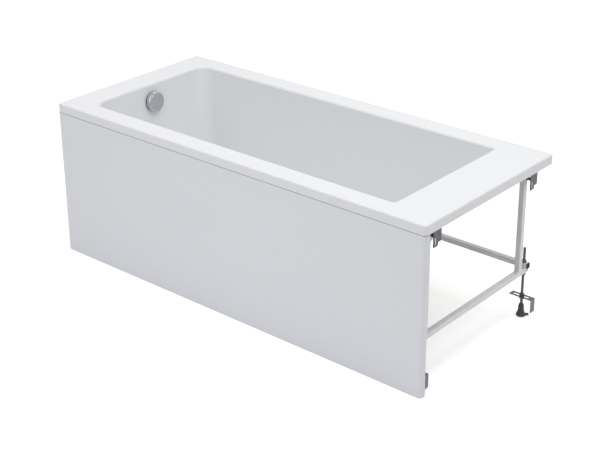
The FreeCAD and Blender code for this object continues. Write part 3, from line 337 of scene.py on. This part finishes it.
def hairline_effect():
    """Hairline marks along two crossing directions."""
    tree, given, result = effect("Hairlines", {"Scale": 60.0, "Amount": 0.5}, "Mask")
    place = spot(tree)
    marks = None
    for turn in ((0.5, 0.3, 0.2), (-0.4, 0.2, 1.3)):
        drawn = stretched(tree, place, (1.0, 24.0, 24.0), turn)
        line = ramp(tree, noise(tree, drawn, given["Scale"], 2.0, 0.6), 0.62, 0.72)
        marks = larger(tree, marks, line)
    tree.links.new(times(tree, marks, given["Amount"], clamp=True), result["Mask"])
    return tree


EFFECTS = {
    "mottle": mottle_effect(),
    "peel": peel_effect(),
    "edges": edge_effect(),
    "dust": dust_effect(),
    "hairlines": hairline_effect(),
}


def use(tree, effect_name, **values):
    """One of the shared effects, placed with its own values."""
    node = tree.nodes.new("ShaderNodeGroup")
    node.node_tree = EFFECTS[effect_name]
    for label, value in values.items():
        node.inputs[label.replace("_", " ")].default_value = value
    return node.outputs[0]


# ---------------------------------------------------------------- finishes


def new_finish(name, roughness, metallic=0.0, specular=0.5):
    """Material with its Principled shader; returns the material, its tree and the shader."""
    material = bpy.data.materials.new(name)
    material.use_nodes = True
    tree = material.node_tree
    shader = tree.nodes["Principled BSDF"]
    shader.inputs["Roughness"].default_value = roughness
    shader.inputs["Metallic"].default_value = metallic
    shader.inputs["Specular IOR Level"].default_value = specular
    return material, tree, shader


def feed(tree, shader, name, source):
    """Links a value or colour to one of the shader's inputs."""
    tree.links.new(source, shader.inputs[name])


def roughen(tree, shader, mask, least, most):
    """Roughness that goes from least to most as a mask goes from 0 to 1."""
    feed(tree, shader, "Roughness", ramp(tree, mask, 0.0, 1.0, least, most))


def emboss(tree, shader, height, strength, distance):
    """Feeds a height to the shader's normal; the distance is the relief in metres."""
    bump = put(tree, "ShaderNodeBump",
               {"Height": height, "Strength": strength, "Distance": distance})
    feed(tree, shader, "Normal", bump.outputs[0])


def peel(tree, fine, broad, share):
    """Orange peel of a fine scale, with a share of broad sag."""
    return use(tree, "peel", Scale=fine, Broad=broad, Broad_share=share)


def outward_side(tree):
    """1 on the basin's outer face and under the deck, 0 on the faces that a bather sees."""
    geometry = put(tree, "ShaderNodeNewGeometry").outputs
    place = split(tree, geometry["Position"])
    face = split(tree, geometry["Normal"])
    toward_x = times(tree, place["X"], BASIN_WIDTH_SHARE)
    away = reckon(tree, "ADD", times(tree, toward_x, face["X"]), times(tree, place["Y"], face["Y"]))
    within_y = reckon(tree, "LESS_THAN", reckon(tree, "ABSOLUTE", place["Y"]), LIP_INNER_Y)
    within_x = reckon(tree, "LESS_THAN", reckon(tree, "ABSOLUTE", place["X"]), LIP_INNER_X)
    inside_lip = times(tree, within_y, within_x)
    outer = times(tree, reckon(tree, "GREATER_THAN", away, 0.0), inside_lip)
    level = reckon(tree, "GREATER_THAN", reckon(tree, "ABSOLUTE", face["Z"]), LEVEL_FACE)
    under = reckon(tree, "LESS_THAN", face["Z"], UNDER_FACE)
    steep = reckon(tree, "SUBTRACT", 1.0, level)
    return larger(tree, times(tree, outer, steep), under)


def strand_height(tree):
    """Chopped glass strands in resin: short ridges lying three ways, and a lumpy lay-up."""
    place = spot(tree)
    ridges = None
    for turn in ((0.3, 0.9, 0.1), (1.2, -0.4, 1.1), (-0.7, 0.5, 2.2)):
        drawn = stretched(tree, place, (0.35, 3.5, 3.5), turn)
        strand = ramp(tree, noise(tree, drawn, 55.0, 2.0, 0.5), 0.52, 0.66)
        ridges = larger(tree, ridges, strand)
    lumps = noise(tree, place, 26.0, 3.0, 0.5)
    return reckon(tree, "ADD", times(tree, ridges, 0.45), lumps)


def shell_acrylic():
    """Glossy white sheet, backed with glass fibre on the faces that nobody sees."""
    material, tree, shader = new_finish("shell_acrylic", 0.2)
    backing = outward_side(tree)
    strands = strand_height(tree)
    fibre = ramp(tree, strands, 0.3, 1.0)
    laid_up = blend(tree, fibre, (0.66, 0.67, 0.66), (0.80, 0.81, 0.80))
    clouding = use(tree, "mottle", Scale=2.2, Contrast=0.9)
    sheet = blend(tree, clouding, (0.806, 0.812, 0.830), (0.822, 0.827, 0.842))
    feed(tree, shader, "Base Color", blend(tree, backing, sheet, laid_up))
    sheen = ramp(tree, use(tree, "mottle", Scale=5.0, Contrast=0.9), 0.0, 1.0, 0.33, 0.39)
    dulled = times(tree, backing, 0.25)
    feed(tree, shader, "Roughness", reckon(tree, "ADD", sheen, dulled))
    waves = times(tree, peel(tree, 160.0, 7.0, 0.8), 0.04)
    height = put(tree, "ShaderNodeMix", {0: backing, 2: waves, 3: strands}).outputs[0]
    emboss(tree, shader, height, 0.5, 0.0012)
    return material


def panel_acrylic():
    """The panel's sheet: a cooler white than the tub, with painted shade on its top edge up in the
    seam.
    """
    material, tree, shader = new_finish("panel_acrylic", 0.4)
    clouding = use(tree, "mottle", Scale=1.6, Contrast=0.9)
    sheet = blend(tree, clouding, (0.780, 0.790, 0.832), (0.796, 0.805, 0.844))
    # painted shade: the panel's top edge, hidden in the seam under the lip, is coloured near black
    # so the gap looks dark
    seam_shade = reckon(tree, "GREATER_THAN", facing(tree)["Z"], SEAM_SHADE_FACE)
    feed(tree, shader, "Base Color", blend(tree, seam_shade, sheet, (0.14, 0.14, 0.15)))
    roughen(tree, shader, use(tree, "mottle", Scale=4.0, Contrast=0.9), 0.36, 0.42)
    emboss(tree, shader, peel(tree, 220.0, 3.5, 1.0), 0.2, 0.00015)
    return material


def frame_paint():
    """Light grey powder paint on the tubes, with a painted highlight along the edges and settled
    dust.
    """
    material, tree, shader = new_finish("frame_paint", 0.42, metallic=0.1)
    clouding = use(tree, "mottle", Scale=14.0, Contrast=2.5)
    tone = blend(tree, clouding, (0.72, 0.724, 0.742), (0.785, 0.79, 0.806))
    # painted highlight: the tubes' edges are lightened in the colour, broken up by grit
    edge_highlight = use(tree, "edges", Width=0.0012, Grit=500.0, Reach=0.5)
    tone = blend(tree, edge_highlight, tone, (0.82, 0.82, 0.83))
    tone = blend(tree, use(tree, "dust", Scale=60.0, Amount=0.15), tone, (0.7, 0.69, 0.67))
    feed(tree, shader, "Base Color", tone)
    roughen(tree, shader, use(tree, "mottle", Scale=60.0, Contrast=3.0), 0.3, 0.42)
    emboss(tree, shader, peel(tree, 900.0, 60.0, 0.6), 0.35, 0.00025)
    return material


def dark_zinc(name, dark, light, rough):
    """Dark passivated zinc: blotchy bloom, rubbed edges, hairlines from handling."""
    material, tree, shader = new_finish(name, rough, metallic=0.75)
    bloom = use(tree, "mottle", Scale=90.0, Contrast=3.5)
    tone = blend(tree, bloom, dark, light)
    rubbed = use(tree, "edges", Width=0.0008, Grit=700.0, Reach=0.8)
    tone = blend(tree, rubbed, tone, (0.42, 0.43, 0.45))
    marks = use(tree, "hairlines", Scale=50.0, Amount=0.35)
    tone = blend(tree, marks, tone, (0.34, 0.35, 0.37))
    feed(tree, shader, "Base Color", tone)
    roughen(tree, shader, bloom, rough - 0.07, rough + 0.1)
    emboss(tree, shader, peel(tree, 1400.0, 200.0, 0.6), 0.4, 0.0002)
    return material


def bright_zinc():
    """Bright zinc with crystal spangle and a blue-grey cast."""
    material, tree, shader = new_finish("bright_zinc", 0.3, metallic=1.0)
    cells = put(tree, "ShaderNodeTexVoronoi", {"Vector": spot(tree), "Scale": 350.0})
    spangle = put(tree, "ShaderNodeSeparateColor", {0: cells.outputs["Color"]}).outputs[0]
    tone = blend(tree, spangle, (0.50, 0.52, 0.55), (0.68, 0.69, 0.71))
    tone = blend(tree, use(tree, "hairlines", Scale=70.0, Amount=0.4), tone, (0.8, 0.8, 0.8))
    feed(tree, shader, "Base Color", tone)
    roughen(tree, shader, spangle, 0.22, 0.38)
    emboss(tree, shader, peel(tree, 900.0, 120.0, 0.5), 0.25, 0.0002)
    return material


def satin_chrome():
    """Satin chrome plate with fine turning marks and a slight water-spot haze."""
    material, tree, shader = new_finish("satin_chrome", 0.2, metallic=1.0)
    haze = use(tree, "mottle", Scale=120.0, Contrast=1.2)
    tone = blend(tree, haze, (0.52, 0.53, 0.55), (0.57, 0.58, 0.60))
    feed(tree, shader, "Base Color", tone)
    roughen(tree, shader, haze, 0.16, 0.22)
    marks = noise(tree, stretched(tree, spot(tree), (1.0, 1.0, 9.0)), 700.0, 2.0, 0.5)
    emboss(tree, shader, marks, 0.12, 0.0001)
    return material


def moulded(name, dark, light, rough, grain=1100.0, dusty=0.2, specular=0.5):
    """Moulded plastic with a spark-eroded grain, scuffed pale on its edges."""
    material, tree, shader = new_finish(name, rough, specular=specular)
    clouding = use(tree, "mottle", Scale=45.0, Contrast=2.0)
    tone = blend(tree, clouding, dark, light)
    scuff = tuple(min(1.0, part * 1.6 + 0.03) for part in light)
    tone = blend(tree, use(tree, "edges", Width=0.0006, Grit=500.0, Reach=0.45), tone, scuff)
    tone = blend(tree, use(tree, "dust", Scale=90.0, Amount=dusty), tone, (0.5, 0.49, 0.47))
    feed(tree, shader, "Base Color", tone)
    roughen(tree, shader, clouding, rough - 0.05, rough + 0.08)
    emboss(tree, shader, peel(tree, grain, 80.0, 0.4), 0.3, 0.0002)
    return material


def rubber():
    """Black rubber with a chalky bloom."""
    material, tree, shader = new_finish("rubber", 0.7, specular=0.3)
    bloom = use(tree, "mottle", Scale=70.0, Contrast=3.0)
    tone = blend(tree, bloom, (0.022, 0.022, 0.023), (0.06, 0.06, 0.058))
    feed(tree, shader, "Base Color", tone)
    roughen(tree, shader, bloom, 0.6, 0.82)
    emboss(tree, shader, peel(tree, 1500.0, 150.0, 0.5), 0.4, 0.0002)
    return material


def resin():
    """Milky laminating resin with glass strands in it."""
    material, tree, shader = new_finish("resin", 0.35)
    strands = strand_height(tree)
    fibre = ramp(tree, strands, 0.3, 1.0)
    feed(tree, shader, "Base Color", blend(tree, fibre, (0.60, 0.60, 0.55), (0.78, 0.78, 0.74)))
    feed(tree, shader, "Roughness", ramp(tree, strands, 0.3, 1.0, 0.25, 0.5))
    emboss(tree, shader, strands, 0.5, 0.001)
    return material


def chipboard():
    """Pressed wood chips under a thin coat of resin."""
    material, tree, shader = new_finish("chipboard", 0.55)
    place = spot(tree)
    drawn = stretched(tree, place, (1.0, 2.2, 1.4), (0.0, 0.0, 0.4))
    chips = put(tree, "ShaderNodeTexVoronoi", {"Vector": drawn, "Scale": 150.0})
    shade = put(tree, "ShaderNodeSeparateColor", {0: chips.outputs["Color"]}).outputs[1]
    tone = blend(tree, shade, (0.40, 0.27, 0.14), (0.66, 0.52, 0.34))
    coat = ramp(tree, noise(tree, place, 12.0, 4.0, 0.6), 0.35, 0.7, 0.15, 0.55)
    feed(tree, shader, "Base Color", blend(tree, coat, tone, (0.70, 0.68, 0.62)))
    feed(tree, shader, "Roughness", ramp(tree, coat, 0.15, 0.55, 0.7, 0.35))
    emboss(tree, shader, chips.outputs["Distance"], 0.35, 0.0006)
    return material


def timber(name, along):
    """Planed softwood with its grain along the batten."""
    material, tree, shader = new_finish(name, 0.6)
    scale = tuple(1.0 if axis == along else 14.0 for axis in range(3))
    drawn = stretched(tree, spot(tree), scale)
    rings = noise(tree, drawn, 6.0, 5.0, 0.6)
    pores = ramp(tree, noise(tree, drawn, 40.0, 3.0, 0.6), 0.45, 0.7)
    tone = blend(tree, ramp(tree, rings, 0.35, 0.65), (0.70, 0.53, 0.31), (0.50, 0.32, 0.15))
    tone = blend(tree, times(tree, pores, 0.35), tone, (0.36, 0.22, 0.11))
    feed(tree, shader, "Base Color", tone)
    feed(tree, shader, "Roughness", ramp(tree, rings, 0.3, 0.7, 0.52, 0.68))
    grain = reckon(tree, "ADD", rings, times(tree, pores, 0.5))
    emboss(tree, shader, grain, 0.35, 0.0006)
    return material


FINISH = {
    "shell": shell_acrylic(),
    "panel": panel_acrylic(),
    "tube": frame_paint(),
    "dark_zinc": dark_zinc("dark_zinc", (0.062, 0.067, 0.078), (0.125, 0.133, 0.15), 0.38),
    "angle_zinc": dark_zinc("angle_zinc", (0.10, 0.106, 0.118), (0.18, 0.187, 0.205), 0.3),
    "bright_zinc": bright_zinc(),
    "chrome": satin_chrome(),
    "black_plastic": moulded("black_plastic", (0.006, 0.006, 0.007), (0.012, 0.012, 0.013), 0.6,
                             dusty=0.03, specular=0.2),
    "foot_plastic": moulded("foot_plastic", (0.036, 0.039, 0.045), (0.07, 0.074, 0.083), 0.5,
                            dusty=0.1),
    "white_plastic": moulded("white_plastic", (0.74, 0.74, 0.72), (0.82, 0.82, 0.81), 0.35,
                             grain=700.0),
    "rubber": rubber(),
    "resin": resin(),
    "chipboard": chipboard(),
    "timber_long": timber("timber_long", 0),
    "timber_cross": timber("timber_cross", 1),
}

# Which nodes of the frame take a finish, by the start of their names.
FINISHED_NODES = {
    "shell": ("tub_shell",),
    "panel": ("front_panel",),
    "tube": ("long_rail", "cross_rail", "post"),
    "dark_zinc": ("rim_bracket", "rail_nuts", "leg_rod", "angle_nuts"),
    "angle_zinc": ("end_angle", "panel_angle"),
    "bright_zinc": ("board_screws", "rim_screws", "panel_clips"),
    "chrome": ("overflow_knob", "waste_flange", "pop_up_plug"),
    "black_plastic": ("rail_end_caps", "pull_cable"),
    "foot_plastic": ("leg_foot", "overflow_spindle", "overflow_face_ring", "overflow_body",
                     "waste_body", "lift_lever"),
    "white_plastic": ("overflow_hose", "trap"),
    "rubber": ("overflow_gasket", "waste_gasket", "plug_seal"),
    "chipboard": ("base_board",),
    "timber_long": ("rim_batten_front", "rim_batten_back"),
    "timber_cross": ("rim_batten_right", "rim_batten_left"),
}


def dress_frame():
    """Every node of the frame gets its finish in the slots of its object."""
    for name, thing in nodes.items():
        finish = next(key for key, starts in FINISHED_NODES.items() if name.startswith(starts))
        for slot in thing.material_slots:
            slot.material = FINISH[finish]


# ---------------------------------------------------------------- mesh helpers


def as_object(name, mesh):
    """Plain object made from a bmesh, which it uses up."""
    data = bpy.data.meshes.new(name)
    mesh.normal_update()
    mesh.to_mesh(data)
    mesh.free()
    thing = bpy.data.objects.new(name, data)
    bpy.context.scene.collection.objects.link(thing)
    return thing


def new_piece(name, mesh, finish, body):
    """Smooth piece from a bmesh, with its finish and the body that it rides on."""
    thing = as_object(name, mesh)
    for face in thing.data.polygons:
        face.use_smooth = True
    thing.data.materials.append(FINISH[finish])
    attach(thing, body)
    return thing


def circle(steps, turn=0.0):
    """Angles of the points round a ring."""
    return [2 * math.pi * step / steps + turn for step in range(steps)]


def skin(mesh, rings):
    """Quads between closed rings of points; returns the rows of vertices."""
    rows = [[mesh.verts.new(point) for point in ring] for ring in rings]
    for low, high in zip(rows, rows[1:]):
        for k in range(len(low)):
            after = (k + 1) % len(low)
            mesh.faces.new((low[k], low[after], high[after], high[k]))
    return rows


def closed_skin(mesh, rings):
    """The same with a flat face across each end."""
    rows = skin(mesh, rings)
    mesh.faces.new(reversed(rows[0]))
    mesh.faces.new(rows[-1])


def tube_rings(path, radii, sides):
    """Rings of points square to a path, each with its own radius."""
    rings = []
    aside = (path[1] - path[0]).normalized().orthogonal().normalized()
    for k, (point, radius) in enumerate(zip(path, radii)):
        ahead = (path[min(k + 1, len(path) - 1)] - path[max(k - 1, 0)]).normalized()
        aside = (aside - ahead * aside.dot(ahead)).normalized()
        over = ahead.cross(aside)
        rings.append([point + (aside * math.cos(angle) + over * math.sin(angle)) * radius
                      for angle in circle(sides)])
    return rings


def turned_form(profile, sides):
    """Bmesh of radius and height pairs turned about Z; the first and last lie on the axis."""
    mesh = bmesh.new()
    rings = [[(radius * math.cos(angle), radius * math.sin(angle), height)
              for angle in circle(sides)] for radius, height in profile[1:-1]]
    rows = skin(mesh, rings)
    for (_, height), row, backward in ((profile[0], rows[0], True), (profile[-1], rows[-1], False)):
        tip = mesh.verts.new((0, 0, height))
        for k in range(sides):
            pair = (row[k], row[(k + 1) % sides])
            mesh.faces.new((tip, *(reversed(pair) if backward else pair)))
    return mesh


def islands(name):
    """Lowest and highest corners of each separate solid in a node."""
    mesh = bmesh.new()
    mesh.from_mesh(nodes[name].data)
    bmesh.ops.remove_doubles(mesh, verts=mesh.verts, dist=SAME_POINT)
    left = set(mesh.verts)
    boxes = []
    while left:
        edge = [left.pop()]
        group = list(edge)
        while edge:
            for link in edge.pop().link_edges:
                for vert in link.verts:
                    if vert in left:
                        left.remove(vert)
                        group.append(vert)
                        edge.append(vert)
        boxes.append(tuple(Vector([pick(vert.co[axis] for vert in group) for axis in range(3)])
                           for pick in (min, max)))
    mesh.free()
    return sorted(boxes, key=lambda box: tuple(round(value, SAME_PLACE_DIGITS) for value in box[0]))


# ---------------------------------------------------------------- made pieces


def threaded_rod(corner):
    """A leg's rod with a real helical thread, in the place of the plain one."""
    name = f"leg_rod_{corner}"
    low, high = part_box(name)
    middle = (low + high) / 2
    length = high.z - low.z
    rings = []
    for row in range(int(length / THREAD_PITCH * THREAD_ROWS) + 1):
        height = row * THREAD_PITCH / THREAD_ROWS
        end = min(height, length - height)
        chamfer = max(0.0, ROD_CHAMFER - end) * ROD_CHAMFER_SLOPE
        ring = []
        for step, angle in enumerate(circle(THREAD_SIDES)):
            phase = (height / THREAD_PITCH - step / THREAD_SIDES) % 1.0
            groove = THREAD_DEPTH * (1 - abs(2 * phase - 1))
            radius = ROD_RADIUS - max(groove, chamfer)
            ring.append((middle.x + radius * math.cos(angle),
                         middle.y + radius * math.sin(angle), low.z + height))
        rings.append(ring)
    mesh = bmesh.new()
    closed_skin(mesh, rings)
    rod = new_piece(f"threaded_{name}", mesh, "dark_zinc", f"leg_{corner}")
    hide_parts(name)


def hose_path(low, high, step):
    """Points a step apart: down behind the end wall, round one bend and level to the waste."""
    bend = HOSE_BEND_RADIUS
    upright_x = low.x + HOSE_RADIUS
    level_z = low.z + HOSE_RADIUS
    drop = high.z - level_z - bend
    path = [Vector((upright_x, 0, high.z - k * step)) for k in range(int(drop / step))]
    arc_steps = int(bend * math.pi / 2 / step)
    for k in range(arc_steps + 1):
        angle = math.pi / 2 * k / arc_steps
        path.append(Vector((upright_x + bend * (1 - math.cos(angle)), 0,
                            level_z + bend * (1 - math.sin(angle)))))
    run = high.x - upright_x - bend
    for k in range(1, int(run / step) + 1):
        path.append(Vector((upright_x + bend + k * step, 0, level_z)))
    path.append(Vector((high.x, 0, level_z)))
    return path


def overflow_hose():
    """Ribbed drain hose with plain cuffs, in the place of the smooth one."""
    step = HOSE_RIB_PITCH / HOSE_RIB_ROWS
    path = hose_path(*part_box("overflow_hose"), step)
    cuff = int(HOSE_CUFF / step)
    radii = []
    for k in range(len(path)):
        plain = min(k, len(path) - 1 - k) < cuff
        wave = 0.5 - 0.5 * math.cos(2 * math.pi * k * step / HOSE_RIB_PITCH)
        radii.append(HOSE_RADIUS - (HOSE_CUFF_INSET if plain else HOSE_RIB_DEPTH * wave))
    mesh = bmesh.new()
    skin(mesh, tube_rings(path, radii, HOSE_SIDES))
    hose = new_piece("ribbed_overflow_hose", mesh, "white_plastic", "tub")
    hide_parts("overflow_hose")


def knob_blank():
    """Crowned cap with a rolled edge, hollow behind, standing on Z."""
    radius = KNOB_RADIUS
    roll = KNOB_EDGE_ROLL
    skirt = radius - KNOB_WALL
    flat = radius - roll
    inside = KNOB_FRONT - NOTCH_DEPTH - KNOB_WALL
    hollow = [(0, KNOB_BACK), (KNOB_BOSS, KNOB_BACK), (KNOB_BOSS, inside),
              (skirt - KNOB_INNER_CHAMFER, inside), (skirt, inside - KNOB_INNER_CHAMFER),
              (skirt, KNOB_BACK + KNOB_SKIRT_CHAMFER), (skirt + KNOB_SKIRT_CHAMFER, KNOB_BACK)]
    heel = [(radius - KNOB_HEEL_CHAMFER, KNOB_BACK), (radius, KNOB_BACK + KNOB_HEEL_RISE)]
    rolled = []
    for step in range(KNOB_ROLL_STEPS + 1):
        turn = math.pi / 2 * step / KNOB_ROLL_STEPS
        drop = roll * (1 - math.sin(turn))
        rolled.append((flat + roll * math.cos(turn), KNOB_FRONT - KNOB_CROWN - drop))
    crown = [(flat * share, KNOB_FRONT - KNOB_CROWN * share ** 2) for share in (0.8, 0.6, 0.4, 0.2)]
    profile = hollow + heel + rolled + crown + [(0, KNOB_FRONT)]
    return as_object("knob_blank", turned_form(profile, KNOB_SIDES))


def notch_cutter(side):
    """Upright cylinder that bites one finger notch out of the knob's edge."""
    reach = KNOB_RADIUS + NOTCH_RADIUS - NOTCH_BITE
    floor = KNOB_FRONT - NOTCH_DEPTH
    top = NOTCH_CUTTER_TOP
    shape = turned_form([(0, floor), (NOTCH_RADIUS, floor), (NOTCH_RADIUS, top), (0, top)],
                        NOTCH_SIDES)
    turn = side + NOTCH_TURN
    place = (reach * math.cos(turn), reach * math.sin(turn), 0)
    bmesh.ops.translate(shape, verts=shape.verts, vec=place)
    return as_object("notch_cutter", shape)


def knob_seat():
    """Matrix from the upright knob to its place on the spindle, facing the bather."""
    joints = frame["record"]["behaviour"]["joints"]
    joint = next(row for row in joints if row["name"] == "knob_turn")
    axis = Vector(joint["axis"]).normalized()
    if axis.x < 0:
        axis = -axis
    upright = (Vector((0, 0, 1)) - axis * axis.z).normalized()
    turn = Matrix((upright, axis.cross(upright), axis)).transposed().to_4x4()
    return Matrix.Translation(Vector(joint["pos_m"])) @ turn


def knob_cap():
    """The knob with two softened finger notches, in the place of the plain one."""
    cap = knob_blank()
    cutters = [notch_cutter(side) for side in (0, math.pi)]
    for cutter in cutters:
        cut = cap.modifiers.new("notch", "BOOLEAN")
        cut.operation = "DIFFERENCE"
        cut.object = cutter
        cut.solver = "EXACT"
    soften = cap.modifiers.new("soften", "BEVEL")
    soften.width = KNOB_SOFT_WIDTH
    soften.segments = KNOB_SOFT_STEPS
    soften.limit_method = "ANGLE"
    soften.angle_limit = KNOB_SOFT_ANGLE
    shaped = cap.evaluated_get(bpy.context.evaluated_depsgraph_get()).to_mesh()
    mesh = bmesh.new()
    mesh.from_mesh(shaped)
    bmesh.ops.transform(mesh, matrix=knob_seat(), verts=mesh.verts)
    for thing in cutters + [cap]:
        bpy.data.objects.remove(thing, do_unlink=True)
    knob = new_piece("knob_cap", mesh, "chrome", "knob")
    knob.data.set_sharp_from_angle(angle=KNOB_SHARP_ANGLE)
    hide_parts("overflow_knob")


def weld_bead(name, start, end):
    """Rippled weld bead between two points."""
    length = (end - start).length
    count = max(4, int(length / WELD_RIPPLE_PITCH * WELD_RIPPLE_ROWS))
    path = []
    radii = []
    for k in range(count):
        share = k / count
        ripple = abs(math.sin(math.pi * share * length / WELD_RIPPLE_PITCH))
        path.append(start.lerp(end, share))
        radii.append(WELD_RADIUS * (1 - WELD_RIPPLE + WELD_RIPPLE * ripple))
    path.append(end)
    radii.append(WELD_RADIUS * WELD_LAST_SHARE)
    mesh = bmesh.new()
    closed_skin(mesh, tube_rings(path, radii, WELD_SIDES))
    new_piece(name, mesh, "tube", "tub")


def post_welds():
    """Beads where each post stands on its cross rail."""
    for corner in LEG_CORNERS:
        low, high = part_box(f"post_{corner}")
        x0, x1 = low.x + WELD_INSET + WELD_STOP, high.x - WELD_INSET - WELD_STOP
        z = low.z + WELD_RISE
        for side, y in (("front", low.y + WELD_INSET), ("back", high.y - WELD_INSET)):
            weld_bead(f"post_weld_{side}_{corner}", Vector((x0, y, z)), Vector((x1, y, z)))


def resin_bead(name, start, end, seed):
    """Lumpy bead of resin and glass that bonds a batten to the shell."""
    length = (end - start).length
    count = int(length / RESIN_STEP)
    path = []
    radii = []
    for k in range(count + 1):
        share = k / count
        lump = sum(height * math.sin(share * length * wave + seed * order)
                   for order, (wave, height) in enumerate(RESIN_LUMPS, 1))
        taper = min(1.0, min(k, count - k) / RESIN_TAPER_ROWS + RESIN_TAPER_START)
        path.append(start.lerp(end, share))
        radii.append(RESIN_RADIUS * (RESIN_SHARE + lump * RESIN_LUMP_SHARE) * taper)
    mesh = bmesh.new()
    closed_skin(mesh, tube_rings(path, radii, RESIN_SIDES))
    new_piece(name, mesh, "resin", "tub")


def resin_beads():
    """Beads along the inner edges of the rim battens, up against the deck's underside."""
    for seed, row in enumerate(("front", "back")):
        low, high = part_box(f"rim_batten_{row}")
        y = high.y if row == "front" else low.y
        z = high.z - RESIN_DROP
        start, end = (Vector((x, y, z)) for x in (low.x + RESIN_STOP, high.x - RESIN_STOP))
        resin_bead(f"resin_bead_{row}", start, end, seed)
    for seed, row in enumerate(("right", "left"), 3):
        low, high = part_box(f"rim_batten_{row}")
        x = low.x if row == "right" else high.x
        z = high.z - RESIN_DROP
        start, end = (Vector((x, y, z)) for y in RESIN_CROSS_ENDS)
        resin_bead(f"resin_bead_{row}", start, end, seed)


def screw_profile(length):
    """Radius and height pairs of a pan-head screw, from the recess's floor round the head and
    along the thread to the tip; heights count from the seat."""
    face = -SCREW_HEAD_HEIGHT
    profile = [(RECESS_FLOOR_RADIUS, face + RECESS_DEPTH), (RECESS_RADIUS, face)]
    profile += [(SCREW_HEAD_RADIUS * out, face * up) for out, up in SCREW_HEAD_CURVE]
    profile.append((SCREW_RADIUS, 0.0))
    for k in range(int((length - SCREW_THREAD_STOP) / SCREW_PITCH)):
        height = SCREW_THREAD_START + k * SCREW_PITCH
        profile.append((SCREW_RADIUS * SCREW_CORE_SHARE, height))
        profile.append((SCREW_RADIUS, height + SCREW_PITCH / 2))
    return profile + [(SCREW_RADIUS * share, length - short) for share, short in SCREW_TIP]


def screw_set(name, places, length):
    """Screws with cross recesses and turned threads, in the place of the plain ones."""
    mesh = bmesh.new()
    for index, place in enumerate(places):
        rings = []
        for row, (radius, height) in enumerate(screw_profile(length)):
            ring = []
            for angle in circle(SCREW_SIDES):
                arm = abs(math.cos(2 * angle)) ** 3 if row == RECESS_EDGE_ROW else 1.0
                reach = radius * (RECESS_WAIST + (1 - RECESS_WAIST) * arm)
                turned = angle + index * SCREW_TURN
                ring.append((place.x + reach * math.cos(turned),
                             place.y + reach * math.sin(turned), place.z + height))
            rings.append(ring)
        closed_skin(mesh, rings)
    screws = new_piece(f"cross_head_{name}", mesh, "bright_zinc", "tub")
    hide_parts(name)


def all_screws():
    """Rim and base board screws, each at the place of its plain solid."""
    for name in ("rim_screws", "board_screws"):
        boxes = islands(name)
        places = [Vector(((low.x + high.x) / 2, (low.y + high.y) / 2, low.z + SCREW_HEAD_HEIGHT))
                  for low, high in boxes]
        low, high = boxes[-1]
        screw_set(name, places, high.z - low.z - SCREW_HEAD_HEIGHT)


# ---------------------------------------------------------------- studio


def studio_floor():
    """Wide floor that looks white, keeps the tub's shadow and is seen through from below."""
    mesh = bmesh.new()
    bmesh.ops.create_grid(mesh, x_segments=8, y_segments=8, size=FLOOR_HALF_SIZE)
    floor = as_object("studio_floor", mesh)
    material, tree, shader = new_finish("studio_floor", 0.9, specular=0.1)
    clouding = use(tree, "mottle", Scale=0.7, Contrast=1.0)
    feed(tree, shader, "Base Color", blend(tree, clouding, (0.86, 0.86, 0.86), (0.88, 0.88, 0.88)))
    shader.inputs["Emission Color"].default_value = (1, 1, 1, 1)
    feed(tree, shader, "Emission Strength", times(tree, eye_rays(tree), FLOOR_GLOW))
    clear = put(tree, "ShaderNodeBsdfTransparent").outputs[0]
    from_below = put(tree, "ShaderNodeNewGeometry").outputs["Backfacing"]
    one_sided = put(tree, "ShaderNodeMixShader", {0: from_below, 1: shader.outputs[0], 2: clear})
    feed(tree, tree.nodes["Material Output"], "Surface", one_sided.outputs[0])
    floor.data.materials.append(material)


def softbox(name, place, target, size, power):
    """Large square lamp aimed at a point."""
    data = bpy.data.lights.new(name, "AREA")
    data.shape = "SQUARE"
    data.size = size
    data.energy = power
    lamp = bpy.data.objects.new(name, data)
    lamp.location = place
    lamp.rotation_mode = "QUATERNION"
    lamp.rotation_quaternion = (Vector(target) - Vector(place)).to_track_quat("-Z", "Y")
    bpy.context.scene.collection.objects.link(lamp)


def studio_air():
    """World that looks white and gives a low fill, stronger from above."""
    world = bpy.data.worlds.new("studio_air")
    bpy.context.scene.world = world
    world.use_nodes = True
    tree = world.node_tree
    background = tree.nodes["Background"]
    background.inputs["Color"].default_value = (1, 1, 1, 1)
    eye = eye_rays(tree)
    height = split(tree, put(tree, "ShaderNodeTexCoord").outputs["Generated"])["Z"]
    low, high = WORLD_LOW_SHARE * WORLD_FILL, WORLD_HIGH_SHARE * WORLD_FILL
    glow = ramp(tree, height, -0.1, 1.0, low, high)
    strength = put(tree, "ShaderNodeMix", {0: eye, 2: glow, 3: 1.0}).outputs[0]
    feed(tree, background, "Strength", strength)


# ---------------------------------------------------------------- the scene

photographer()
studio_floor()
studio_air()
for lamp in LAMPS:
    softbox(*lamp)

dress_frame()
for corner in LEG_CORNERS:
    threaded_rod(corner)
knob_cap()
overflow_hose()
post_welds()
resin_beads()
all_screws()

bpy.context.scene.view_settings.view_transform = "Standard"
